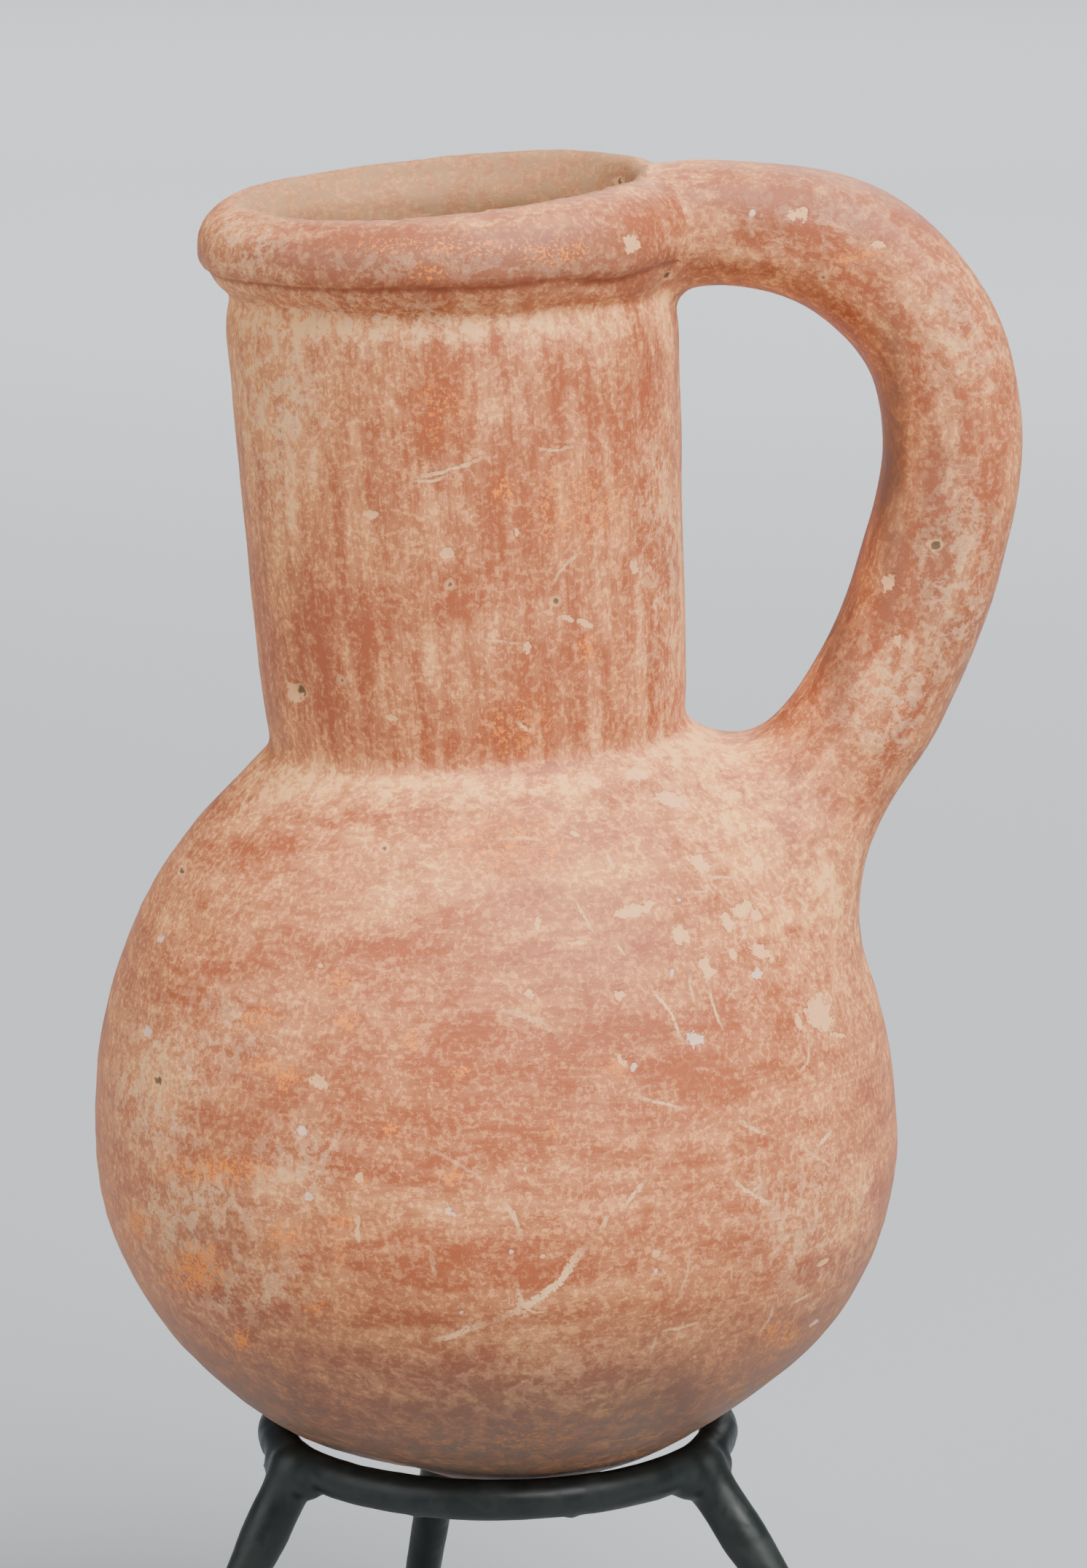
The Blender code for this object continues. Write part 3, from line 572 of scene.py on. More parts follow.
def oval(centre, across, up, start, end, steps, fullness=2.0):
    """Points on an oval arc from one angle to another, without the first."""
    points = []
    for angle in np.linspace(start, end, steps + 1)[1:]:
        sideways = across * abs(cos(angle)) ** (2 / fullness)
        upward = up * abs(sin(angle)) ** (2 / fullness)
        points.append((centre[0] + sideways, centre[1] + (upward if sin(angle) > 0 else -upward)))
    return points


def oval_angle(radius, widest):
    return atan2(sqrt(1 - (radius / widest) ** 2), radius / widest)


def smooth_line(points, count):
    """Evenly spaced points on a smooth curve through the given ones."""
    points = np.array(points, float)
    steps = np.linalg.norm(np.diff(points[:, :2], axis=0), axis=1)
    along = np.concatenate([[0], np.cumsum(steps)])
    slopes = np.gradient(points, along, axis=0)
    where = np.linspace(0, along[-1], count)
    i = np.clip(np.searchsorted(along, where, side="right") - 1, 0, len(points) - 2)
    step = (along[i + 1] - along[i])[:, None]
    u = (where - along[i])[:, None] / step
    start = (1 + 2 * u) * (1 - u) ** 2 * points[i] + u * (1 - u) ** 2 * step * slopes[i]
    end = u * u * (3 - 2 * u) * points[i + 1] + u * u * (u - 1) * step * slopes[i + 1]
    return start + end


# How far round the roll's oval the rim goes under, and the edge folded under it: how far each
# point lies inside the rim's radius and below the fold line, in millimetres
ROLL_END = -0.15 * pi
FOLDED_EDGE = ((1.25, 0.75), (1.55, 1.2), (1.75, 2.1))

# The shoulder is a cone from the neck's foot to this radius, and blends into the body's oval
CONE_RADIUS = 26.0 * MM
CONE_BLEND = 0.6


def outer_profile(s):
    """Radius and height down the outside, from the lip to the centre of the base."""
    roll = (s.lip_radius, s.groove_height + s.rim_height / 2)
    points = [(s.lip_radius, s.groove_height + s.rim_height)]
    points += oval(roll, s.rim_radius - s.lip_radius, s.rim_height / 2, pi / 2, ROLL_END, 24)
    fold = s.groove_height + s.fold_height
    points += [(s.rim_radius - inward * MM, fold - down * MM) for inward, down in FOLDED_EDGE]
    neck_length = s.groove_height - s.neck_foot_height
    neck = [
        (s.neck_head_radius - 0.5 * MM, s.groove_height),
        (s.neck_head_radius, s.groove_height - 0.06 * neck_length),
        (s.neck_head_radius, s.groove_height - 0.2 * neck_length),
        (s.neck_waist_radius, s.groove_height - 0.6 * neck_length),
        (s.neck_waist_radius - 0.5 * MM, s.groove_height - 0.82 * neck_length),
        (s.neck_foot_radius, s.neck_foot_height + 0.6 * MM),
    ]
    points += [tuple(point) for point in smooth_line(neck, 50)]
    cone = oval_angle(CONE_RADIUS, s.body_radius)
    shoulder = [
        (s.neck_foot_radius + 0.6 * MM, s.neck_foot_height - 0.4 * MM),
        (CONE_RADIUS, s.shoulder_rise * sin(cone)),
    ]
    shoulder += oval((0, 0), s.body_radius, s.shoulder_rise, cone, CONE_BLEND * cone, 3)
    points += [tuple(point) for point in smooth_line(shoulder, 24)]
    points += oval((0, 0), s.body_radius, s.shoulder_rise, CONE_BLEND * cone, 0, 30)
    points += oval((0, 0), s.body_radius, s.body_drop, 0, -pi / 2, 64, s.underside_fullness)
    points[-1] = (0.0, -s.body_drop)
    return points


def inner_profile(s):
    """Radius and height up the inside, from the centre of the floor to the lip."""
    radius = s.body_radius - s.body_wall
    rise = s.shoulder_rise - s.body_wall
    foot = oval_angle(s.neck_foot_radius - s.neck_wall, radius)
    points = [(0.0, s.base_wall - s.body_drop)]
    drop = s.body_drop - s.base_wall
    points += oval((0, 0), radius, drop, -pi / 2, 0, 24, s.underside_fullness)
    points += oval((0, 0), radius, rise, 0, foot, 24)
    lip_start = s.groove_height + 0.45 * s.rim_height
    mouth = [
        points[-1],
        (s.neck_waist_radius - s.neck_wall, s.groove_height - 24 * MM),
        (s.mouth_radius, s.groove_height + 2 * MM),
        (s.mouth_radius, lip_start),
    ]
    points += [tuple(point) for point in smooth_line(mouth, 40)[1:]]
    lip_height = s.groove_height + s.rim_height
    width = s.lip_radius - s.mouth_radius
    points += oval((s.lip_radius, lip_start), -width, lip_height - lip_start, 0, pi / 2, 12)[:-1]
    return points


def core_profile(s):
    """Radius and height down the middle of the wall, closed over the mouth."""
    radius = s.body_radius - s.body_wall / 2
    rise = s.shoulder_rise - s.body_wall / 2
    foot_radius = s.neck_foot_radius - s.neck_wall / 2
    foot = oval_angle(foot_radius, radius)
    lip = s.groove_height + s.rim_height
    points = [(0.0, lip + 10 * MM), (s.lip_radius, lip + 10 * MM), (s.lip_radius, lip)]
    points.append(((s.neck_head_radius + s.mouth_radius) / 2, s.groove_height))
    points.append((foot_radius, rise * sin(foot)))
    points += oval((0, 0), radius, rise, foot, 0, 16)
    points += oval((0, 0), radius, s.body_drop - s.base_wall / 2, 0, -pi / 2, 16)
    points[-1] = (0.0, s.base_wall / 2 - s.body_drop)
    return points


def turned(name, profile, steps):
    """A closed mesh turned from a profile whose first and last points are on the axis."""
    angles = np.linspace(0, 2 * pi, steps, endpoint=False)
    around = np.stack([np.cos(angles), np.sin(angles), np.zeros(steps)], 1)
    profile = np.array(profile)
    rings = profile[1:-1, 0][:, None, None] * around + profile[1:-1, 1][:, None, None] * (0, 0, 1)
    points = [(0, 0, profile[0, 1]), *rings.reshape(-1, 3), (0, 0, profile[-1, 1])]
    faces = []
    last = len(points) - 1
    for j in range(steps):
        k = (j + 1) % steps
        faces.append((0, 1 + j, 1 + k))
        faces.append((last, last - steps + k, last - steps + j))
        for i in range(len(rings) - 1):
            low, high = 1 + i * steps, 1 + (i + 1) * steps
            faces.append((low + j, high + j, high + k, low + k))
    return new_mesh(name, points, faces)


def new_mesh(name, points, faces):
    mesh = bpy.data.meshes.new(name)
    mesh.from_pydata([tuple(point) for point in points], [], faces)
    cage = bmesh.new()
    cage.from_mesh(mesh)
    bmesh.ops.recalc_face_normals(cage, faces=cage.faces)
    cage.to_mesh(mesh)
    cage.free()
    return mesh


def hand_shaped(points, s):
    """Move points of the true turned form to where they lie on the hand-made one."""
    x, y, z = points.T
    heights = [row[0] for row in STRAY]
    shift, side, back = [np.interp(z, heights, [row[i] for row in STRAY]) for i in (1, 2, 3)]
    radius = np.hypot(x, y)
    direction = np.arctan2(y, x)
    pressed = np.zeros(len(points))
    for flat_direction, flat_height, half_angle, half_height, depth in FLATS:
        turn = (direction - flat_direction + pi) % (2 * pi) - pi
        reach = (turn / half_angle) ** 2 + ((z - flat_height) / half_height) ** 2
        pressed += depth * np.exp(-reach) * np.minimum(1, radius / (10 * MM))
    scale = 1 - pressed / s.body_drop
    return np.stack([x * scale + shift, y * scale, (z + x * side + y * back) * scale], 1)


def trued(points, s):
    """The reverse of hand_shaped: where points of the hand-made form lie on the turned one."""
    true = points.copy()
    for _ in range(6):
        true -= hand_shaped(true, s) - points
    return true


def handle_line(s, count):
    """Points down the handle's middle line: x, z and the section's share."""
    lip = s.groove_height + s.rim_height
    line = [(x * MM, lip + drop * MM, share) for x, drop, share in HANDLE_LINE]
    return smooth_line(line, count)


def line_directions(line):
    """The unit direction of the handle's middle line at each of its points."""
    along = np.gradient(line[:, :2], axis=0)
    return along / np.linalg.norm(along, axis=1)[:, None]


def tube_faces(rings, sides):
    """Faces of a closed tube whose points are given ring by ring."""
    last = rings * sides
    faces = [tuple(range(sides)), tuple(range(last - sides, last))]
    for i in range(rings - 1):
        for j in range(sides):
            k = (j + 1) % sides
            low, high = i * sides, (i + 1) * sides
            faces.append((low + j, low + k, high + k, high + j))
    return faces


def handle_mesh(s):
    """The strap as a loft of softly squared sections."""
    line = handle_line(s, 90)
    along = line_directions(line)
    sides = 48
    angles = np.linspace(0, 2 * pi, sides, endpoint=False)
    power = 2 / STRAP_SQUARENESS
    across = np.sign(np.cos(angles)) * np.abs(np.cos(angles)) ** power
    aside = np.sign(np.sin(angles)) * np.abs(np.sin(angles)) ** power
    points = []
    for (x, z, share), (tx, tz) in zip(line, along):
        out = across * share * s.strap_thickness / 2
        points += list(np.stack([x - tz * out, aside * share * s.strap_width / 2, z + tx * out], 1))
    return new_mesh("handle", points, tube_faces(len(line), sides))


def read_values(items, name, width, kind=float):
    values = np.zeros(len(items) * width, kind)
    items.foreach_get(name, values)
    return values.reshape(-1, width)


def mesh_points(mesh):
    return read_values(mesh.vertices, "co", 3)


def mesh_normals(mesh):
    return read_values(mesh.vertices, "normal", 3)


def mesh_edges(mesh):
    return read_values(mesh.edges, "vertices", 2, np.int64)


def set_points(mesh, points):
    mesh.vertices.foreach_set("co", np.asarray(points, np.float32).ravel())
    mesh.update()


def add_object(name, data):
    obj = bpy.data.objects.new(name, data)
    bpy.context.scene.collection.objects.link(obj)
    return obj


def finished_mesh(obj, name):
    """The mesh of an object with its modifiers applied. The object is removed."""
    bpy.context.view_layer.update()
    mesh = bpy.data.meshes.new_from_object(obj.evaluated_get(bpy.context.evaluated_depsgraph_get()))
    mesh.name = name
    bpy.data.objects.remove(obj)
    return mesh


def joined_mesh(name, meshes):
    cage = bmesh.new()
    for mesh in meshes:
        cage.from_mesh(mesh)
    mesh = bpy.data.meshes.new(name)
    cage.to_mesh(mesh)
    cage.free()
    return mesh


def remeshed(name, mesh, spacing):
    obj = add_object(name, mesh)
    remesh = obj.modifiers.new("Even skin", "REMESH")
    remesh.mode = "VOXEL"
    remesh.voxel_size = spacing
    return finished_mesh(obj, name)


def relaxed(points, edges, weights, rounds, keep_size=False):
    """Smooth points towards their neighbours, by a weight for each point."""
    count = len(points)
    first, second = edges.T
    neighbours = np.bincount(first, minlength=count) + np.bincount(second, minlength=count)
    neighbours = np.maximum(neighbours, 1)[:, None]
    factors = (0.5, -0.52) if keep_size else (0.5,)
    for _ in range(rounds):
        for factor in factors:
            total = np.zeros_like(points)
            for axis in range(3):
                total[:, axis] = np.bincount(first, points[second, axis], count)
                total[:, axis] += np.bincount(second, points[first, axis], count)
            points = points + factor * weights[:, None] * (total / neighbours - points)
    return points


def line_distance(points, line):
    """Distance of 2-D points from a line, and how far along it each nearest place is."""
    line = np.asarray(line)
    lengths = np.linalg.norm(np.diff(line, axis=0), axis=1)
    starts = np.concatenate([[0], np.cumsum(lengths)])
    best = np.full(len(points), 1e9)
    along = np.zeros(len(points))
    for i, length in enumerate(lengths):
        if length == 0:
            continue
        direction = (line[i + 1] - line[i]) / length
        offset = points - line[i]
        reach = np.clip(offset @ direction, 0, length)
        distance = np.linalg.norm(offset - reach[:, None] * direction, axis=1)
        closer = distance < best
        best[closer] = distance[closer]
        along[closer] = starts[i] + reach[closer]
    return best, along


def fade(values, start, end):
    """0 before start, 1 after end, and smooth between them."""
    t = np.clip((values - start) / (end - start), 0, 1)
    return t * t * (3 - 2 * t)


def waves(points, size, seed, count=7):
    """A smooth uneven swell between about -1 and 1, with humps of a given size."""
    draw = np.random.default_rng(seed)
    total = np.zeros(len(points))
    for _ in range(count):
        way = draw.normal(size=3)
        way *= draw.uniform(0.6, 1.4) * 2 * pi / (size * np.linalg.norm(way))
        total += np.sin(points @ way + draw.uniform(0, 2 * pi))
    return total / sqrt(count / 2) / 1.6


def lumps(points, scale, seed):
    """Noise between about -1 and 1 at points that are first divided by a size on each axis."""
    scaled = points / np.asarray(scale, float) + seed * 17.3
    return np.array([noise.noise(Vector(point)) for point in scaled])


# The vessel's surface is unrolled as if its radius were the same all over
UNROLLED_RADIUS = 30 * MM


class Clay:
    """What is known of every point of the juglet's surface."""

    def __init__(self, mesh, s):
        self.points = mesh_points(mesh)
        self.normals = mesh_normals(mesh)
        true = trued(self.points, s)
        flat = np.stack([np.hypot(true[:, 0], true[:, 1]), true[:, 2]], 1)
        outer_distance, self.outer_along = line_distance(flat, outer_profile(s))
        inner_distance, self.inner_along = line_distance(flat, inner_profile(s))
        angle = np.arctan2(true[:, 1], true[:, 0])
        self.round_place = UNROLLED_RADIUS * np.stack([np.cos(angle), np.sin(angle)], 1)
        line = handle_line(s, 120)
        place = self.points[:, [0, 2]]
        self.handle_along = line_distance(place, line[:, :2])[1]
        lengths = np.linalg.norm(np.diff(line[:, :2], axis=0), axis=1)
        starts = np.concatenate([[0], np.cumsum(lengths)])
        share = np.interp(self.handle_along, starts, line[:, 2])
        along = line_directions(line)
        middle = np.stack([np.interp(self.handle_along, starts, line[:, i]) for i in (0, 1)], 1)
        way = np.stack([np.interp(self.handle_along, starts, along[:, i]) for i in (0, 1)], 1)
        offset = place - middle
        self.handle_out = -way[:, 1] * offset[:, 0] + way[:, 0] * offset[:, 1]
        self.strap_place = np.column_stack(
            [self.handle_out, self.points[:, 1], self.handle_along])
        out = np.abs(self.handle_out) / (share * s.strap_thickness / 2)
        aside = np.abs(self.points[:, 1]) / (share * s.strap_width / 2)
        reach = (out ** STRAP_SQUARENESS + aside ** STRAP_SQUARENESS) ** (1 / STRAP_SQUARENESS)
        beyond = np.where((self.handle_along <= 0) | (self.handle_along >= starts[-1]), 5 * MM, 0)
        strap_distance = np.abs((reach - 1) * share * s.strap_thickness / 2 + beyond)
        vessel_distance = np.minimum(outer_distance, inner_distance)
        self.seam = vessel_distance + strap_distance
        self.inside = (inner_distance < outer_distance) & (vessel_distance < 1.2 * MM)
        self.handle = fade(vessel_distance - strap_distance, -0.8 * MM, 0.8 * MM)
        self.handle *= fade(self.points[:, 0], 14 * MM, 18 * MM)
        foot = s.neck_foot_height
        groove = s.groove_height
        height = true[:, 2]
        self.height = height
        self.neck = fade(height, foot - 0.6 * MM, foot + 0.6 * MM) * (1 - self.handle)
        self.rim = fade(height, groove - 0.4 * MM, groove + 0.6 * MM) * (1 - self.handle)


# The joints of the handle lie beyond this distance from the axis. Each is rounded over this
# distance from the seam, at the shoulder and at the rim.
JOINT_SIDE = 12 * MM
SHOULDER_FILLET = 3.0 * MM
RIM_FILLET = 0.9 * MM

# The share of the faces inside the body that can go
HIDDEN_SAVING = 0.88


def shaped_juglet(s):
    """The juglet's skin: vessel and handle grown into one, with the joins filled and rounded."""
    shell = turned("vessel", inner_profile(s) + outer_profile(s), 200)
    set_points(shell, hand_shaped(mesh_points(shell), s))
    core_mesh = turned("wall core", core_profile(s), 96)
    set_points(core_mesh, hand_shaped(mesh_points(core_mesh), s))
    core = add_object("wall core", core_mesh)
    handle = add_object("handle", handle_mesh(s))
    cut = handle.modifiers.new("Trim in the wall", "BOOLEAN")
    cut.operation = "DIFFERENCE"
    cut.solver = "EXACT"
    cut.object = core
    strap = finished_mesh(handle, "strap")
    bpy.data.objects.remove(core)
    mesh = remeshed("juglet", joined_mesh("clay", [shell, strap]), s.grain)
    edges = mesh_edges(mesh)
    points = mesh_points(mesh)
    points = relaxed(points, edges, np.ones(len(points)), rounds=5, keep_size=True)
    set_points(mesh, points)
    clay = Clay(mesh, s)
    joints = points[:, 0] > JOINT_SIDE
    low = points[:, 2] < 0.5 * (s.neck_foot_height + s.groove_height)
    spread = np.where(low, SHOULDER_FILLET, RIM_FILLET)
    weights = np.exp(-(clay.seam / spread) ** 2) * joints * ~clay.inside
    points = relaxed(points, edges, weights, rounds=120)
    near = np.exp(-(clay.seam / (2.2 * spread)) ** 2) * (points[:, 0] > JOINT_SIDE)
    points = relaxed(points, edges, near, rounds=6)
    set_points(mesh, points)
    return thinned_inside(mesh, clay, s)


def thinned_inside(mesh, clay, s):
    """Use fewer faces inside the body, which is seen only through the mouth."""
    obj = add_object("juglet", mesh)
    hidden = clay.inside & (clay.height < s.neck_foot_height - 4 * MM)
    group = obj.vertex_groups.new(name="hidden")
    group.add([int(i) for i in np.flatnonzero(hidden)], 1.0, "REPLACE")
    thin = obj.modifiers.new("Fewer faces inside", "DECIMATE")
    thin.ratio = 1 - HIDDEN_SAVING * hidden.mean()
    thin.vertex_group = "hidden"
    return finished_mesh(obj, "juglet")


def fold_distance(clay, s):
    """Height above the wavy line where the rolled rim was pressed down."""
    line = s.groove_height + s.fold_height - 0.2 * MM
    return clay.height - line - 0.35 * MM * waves(clay.points, 14 * MM, 8)


def hand_relief(clay, s):
    """How far each point of the clay stands out from the smooth form, in metres."""
    points = clay.points
    unrolled = np.column_stack([clay.round_place, clay.outer_along])
    outside = ~clay.inside
    body = (1 - clay.neck) * (1 - clay.handle) * outside
    neck = clay.neck * (1 - clay.rim) * outside
    rim = clay.rim * outside

    # Swells, strokes and the potter's fingers inside stand out by these many millimetres
    swell = 0.16 * waves(points, 26 * MM, 3) + 0.05 * waves(points, 9 * MM, 4)
    level = lumps(unrolled, (11 * MM, 11 * MM, 1.7 * MM), 1)
    upright = lumps(unrolled, (1.9 * MM, 1.9 * MM, 13 * MM), 2)
    grain = lumps(clay.strap_place, (2.2 * MM, 2.2 * MM, 14 * MM), 3)
    fine = lumps(points, (1.6 * MM,) * 3, 4)
    relief = swell + body * 0.05 * level + neck * 0.06 * upright + clay.handle * 0.09 * grain
    relief += 0.02 * fine + rim * 0.07 * lumps(unrolled, (4 * MM, 4 * MM, 1.3 * MM), 5)
    fingers = np.sin(clay.inner_along / (5.2 * MM) * 2 * pi + 0.5 * waves(points, 40 * MM, 6))
    relief += clay.inside * 0.14 * fingers
    relief *= MM

    # Grooves at the fold, under the rim and at the neck's foot
    off = fold_distance(clay, s) / (0.5 * MM)
    relief -= rim * 0.42 * MM * np.exp(-off ** 2) * outside
    groove = (clay.height - s.groove_height) / (0.9 * MM)
    relief -= 0.22 * MM * np.exp(-groove ** 2) * outside * (1 - clay.handle)
    crease = (clay.height - s.neck_foot_height) / (1.3 * MM)
    ripple = 1 + 0.5 * waves(points, 15 * MM, 9)
    relief -= 0.18 * MM * np.exp(-crease ** 2) * outside * (1 - clay.handle) * ripple
    return relief


def unseen(points, normals):
    """How far each point is turned away from the photograph, from 0 to 1."""
    away = points - np.array(CAMERA_FROM_BODY)
    away /= np.linalg.norm(away, axis=1)[:, None]
    return fade((normals * away).sum(1), -0.12, 0.05)


class Sight:
    """Finds where the photograph's lines of sight meet a surface."""

    def __init__(self, mesh, points, normals):
        self.tree = BVHTree.FromPolygons(
            [tuple(point) for point in points], [tuple(face.vertices) for face in mesh.polygons])
        self.start = Vector(CAMERA_FROM_BODY)
        self.turn = Matrix.Rotation(pi / 2 - CAMERA_PITCH, 3, "X")
        seen = (points - np.array(self.start)) @ np.array(self.turn)
        self.pixels = FOCAL_PIXELS * np.stack([seen[:, 0], -seen[:, 1]], 1) / -seen[:, 2:]
        self.pixels += (FRAME_WIDTH / 2, FRAME_HEIGHT / 2)
        self.depths = np.linalg.norm(seen, axis=1)
        self.facing = 1 - unseen(points, normals)

    def meet(self, x, y):
        """The place and normal where a pixel's line of sight meets the surface, or None."""
        way = Vector((x - FRAME_WIDTH / 2, FRAME_HEIGHT / 2 - y, -FOCAL_PIXELS))
        place, normal, _, distance = self.tree.ray_cast(self.start, (self.turn @ way).normalized())
        if place is None:
            return None
        return np.array(place), np.array(normal), distance

    def near(self, mark):
        """How strongly each point is covered by a soft mark of the photograph, from 0 to 1."""
        met = self.meet(mark.x, mark.y)
        if met is None:
            return 0.0
        level = abs(self.depths - met[2]) < 24 * MM
        right, down = (self.pixels - (mark.x, mark.y)).T
        turn = radians(getattr(mark, "turn", 0))
        u = (right * cos(turn) + down * sin(turn)) / mark.wide
        v = (down * cos(turn) - right * sin(turn)) / mark.high
        return np.exp(-(u * u + v * v) ** 1.2) * self.facing * level


def mark_tones(sight, count):
    """How much paler or redder, how rusty, how laced with deposit, and how much painted shade each
    point gets.
    """
    tone = np.zeros(count)
    for mark in TONES:
        tone += mark.amount * sight.near(mark)
    fields = []
    for rows in (STAINS, LACES, PAINTED_SHADE_PATCHES):
        field = np.zeros(count)
        for mark in rows:
            field = np.maximum(field, mark.amount * sight.near(mark))
        fields.append(field)
    return tone, *fields


# Marks of one kind are dealt out to layers. The last layer of chips holds the white ones.
SCRATCH_LAYERS = 3
CHIP_LAYERS = 4
WHITE_SHARE = 0.5

# A mark laid on the clay: its middle, outward normal, sideways and upward directions, and half
# sizes in millimetres
Laid = namedtuple("Laid", "place normal across upward wide high")

# Where a point lies that has no mark near it
FAR_FROM_MARKS = (9.0, 9.0, -3.0)


def laid_mark(place, normal, wide, high, turn):
    across = np.cross((0, 0, 1), normal)
    across = across / max(np.linalg.norm(across), 1e-6)
    upward = np.cross(normal, across)
    right = across * cos(turn) - upward * sin(turn)
    up = across * sin(turn) + upward * cos(turn)
    return Laid(place, normal, right, up, wide, high)


def seen_marks(sight, rows):
    """Chips or pits of the photograph, laid on the clay."""
    marks = []
    for row in rows:
        met = sight.meet(row.x, row.y)
        if met:
            place, normal, distance = met
            pixel = distance / FOCAL_PIXELS / MM
            high = getattr(row, "high", row.wide) * pixel
            mark = laid_mark(place, normal, row.wide * pixel, high, radians(row.turn))
            view = (place - np.array(sight.start)) / distance
            slant = [sqrt(max(0.12, 1 - (side @ view) ** 2)) for side in (mark.across, mark.upward)]
            marks.append(mark._replace(wide=mark.wide / slant[0], high=mark.high / slant[1]))
    return marks


def shared_out(marks, count):
    """Deal marks into layers, so that those of one layer keep clear of each other."""
    layers = [[] for _ in range(count)]
    for mark in marks:
        reach = max(mark.wide, mark.high)
        room = []
        for layer in layers:
            gaps = [np.linalg.norm(mark.place - other.place) / MM - max(other.wide, other.high)
                    for other in layer]
            room.append(min(gaps, default=1000.0) - reach)
        layers[int(np.argmax(room))].append(mark)
    return layers


def places_in_marks(points, normals, marks):
    """Where each point lies in the nearest mark of a layer: across, up, and the mark's radius.

    The three change evenly over a face, so even a mark smaller than a face keeps a crisp edge.
    """
    places = np.tile(FAR_FROM_MARKS, (len(points), 1))
    nearest = np.full(len(points), 1e9)
    for mark in marks:
        offset = (points - mark.place) / MM
        away = np.linalg.norm(offset, axis=1) - max(mark.wide, mark.high)
        chosen = (away < 1.5) & (away < nearest) & (normals @ mark.normal > 0.1)
        radius = min(mark.wide, mark.high)
        inside = offset[chosen]
        places[chosen, 0] = inside @ mark.across * radius / mark.wide
        places[chosen, 1] = inside @ mark.upward * radius / mark.high
        places[chosen, 2] = radius
        nearest[chosen] = away[chosen]
    return places


def edge_distance(places):
    return np.hypot(places[:, 0], places[:, 1]) - places[:, 2]


def scratch_layer(points, normals, strokes):
    """Signed distance to the nearest stroke of a layer in millimetres, its width and strength.

    A signed distance crosses zero on the stroke, so the line stays crisp on a coarser mesh.
    """
    side = np.full(len(points), 3.0)
    width = np.zeros(len(points))
    strength = np.zeros(len(points))
    nearest = np.full(len(points), 2.2 * MM)
    for half_width, amount, line, normal in strokes:
        line = np.array(line)
        lengths = np.linalg.norm(np.diff(line, axis=0), axis=1)
        total = lengths.sum()
        start = 0.0
        for i, length in enumerate(lengths):
            way = (line[i + 1] - line[i]) / length
            offset = points - line[i]
            along = offset @ way
            held = np.clip(along, 0, length)
            gap = np.linalg.norm(offset - held[:, None] * way, axis=1)
            across = np.cross(way, normal)
            across /= np.linalg.norm(across)
            closer = (gap < nearest) & (normals @ normal > 0.1)
            taper = np.minimum(start + along, total - start - along) / (0.35 * total)
            ends = np.clip(taper + 0.1, 0, 1)
            side[closer] = (offset @ across)[closer] / MM
            width[closer] = half_width
            strength[closer] = (amount * ends * (1 - fade(gap, 1.1 * MM, 2.0 * MM)))[closer]
            nearest[closer] = gap[closer]
            start += length
    return np.column_stack([side, width, strength])


def seen_strokes(sight):
    """The photograph's scratches as lines on the clay, shared out among the layers."""
    layers = [[] for _ in range(SCRATCH_LAYERS)]
    for index, mark in enumerate(SCRATCHES):
        met = [sight.meet(x, y) for x, y in mark.points]
        if all(met):
            normal = np.mean([hit[1] for hit in met], axis=0)
            normal /= np.linalg.norm(normal)
            line = [hit[0] for hit in met]
            layers[index % SCRATCH_LAYERS].append((1.4 * mark.width, mark.strength, line, normal))
    return layers


# How many marks of each kind the unseen sides carry. Tones past the narrow ones are wide.
FAR_CHIPS = 90
FAR_NARROW_TONES = 90
FAR_TONES = 124
FAR_STAINS = 34
FAR_SCRATCHES = 44


def unseen_marks(clay, strokes):
    """Marks of the same kinds on the sides that no photograph shows.

    Returns beige chips, white chips, rust and tone, and adds scratches to the layers of strokes.
    """
    draw = np.random.default_rng(11)
    points, normals = clay.points, clay.normals
    hidden = unseen(points, normals)
    places = np.flatnonzero((hidden > 0.6) & ~clay.inside)
    rust = np.zeros(len(points))
    tone = np.zeros(len(points))

    def anywhere():
        index = draw.choice(places)
        return points[index], normals[index]

    beige = []
    white = []
    for _ in range(FAR_CHIPS):
        place, normal = anywhere()
        wide = 10 ** draw.uniform(-0.75, 0.2)
        mark = laid_mark(place, normal, wide, wide * draw.uniform(0.4, 1.0), draw.uniform(0, pi))
        (white if draw.random() < 0.25 else beige).append(mark)
    for index in range(FAR_TONES):
        place, normal = anywhere()
        wide, high = draw.uniform(1.5, 8.0), draw.uniform(0.7, 2.4)
        if index >= FAR_NARROW_TONES:
            wide, high = 2.2 * wide, 2.2 * high
        if abs(normal[2]) < 0.5 and place[2] > 44 * MM:
            wide, high = high, wide
        mark = laid_mark(place, normal, wide, high, 0)
        offset = (points - place) / MM
        reach = (offset @ mark.across / wide) ** 2 + (offset @ mark.upward / high) ** 2
        amount = draw.choice([-1, -1, 1]) * draw.uniform(0.4, 1.0)
        tone += amount * np.exp(-reach) * (normals @ normal > 0.2)
    for _ in range(FAR_STAINS):
        place, normal = anywhere()
        half = 10 ** draw.uniform(-0.4, 0.5)
        reach = (((points - place) / MM) ** 2).sum(1) / half ** 2
        rust = np.maximum(rust, draw.uniform(0.4, 1.3) * np.exp(-reach) * (normals @ normal > 0.2))
    for index in range(FAR_SCRATCHES):
        place, normal = anywhere()
        turn = draw.uniform(0, pi)
        length = draw.uniform(1.5, 6.0) * MM
        mark = laid_mark(place, normal, 1.0, 1.0, turn)
        bow = mark.upward * length * draw.uniform(-0.12, 0.12)
        line = [place - mark.across * length / 2, place + bow, place + mark.across * length / 2]
        layer = strokes[index % SCRATCH_LAYERS]
        layer.append((draw.uniform(0.1, 0.26), draw.uniform(0.4, 1.0), line, normal))
    return beige, white, rust * hidden, tone * hidden


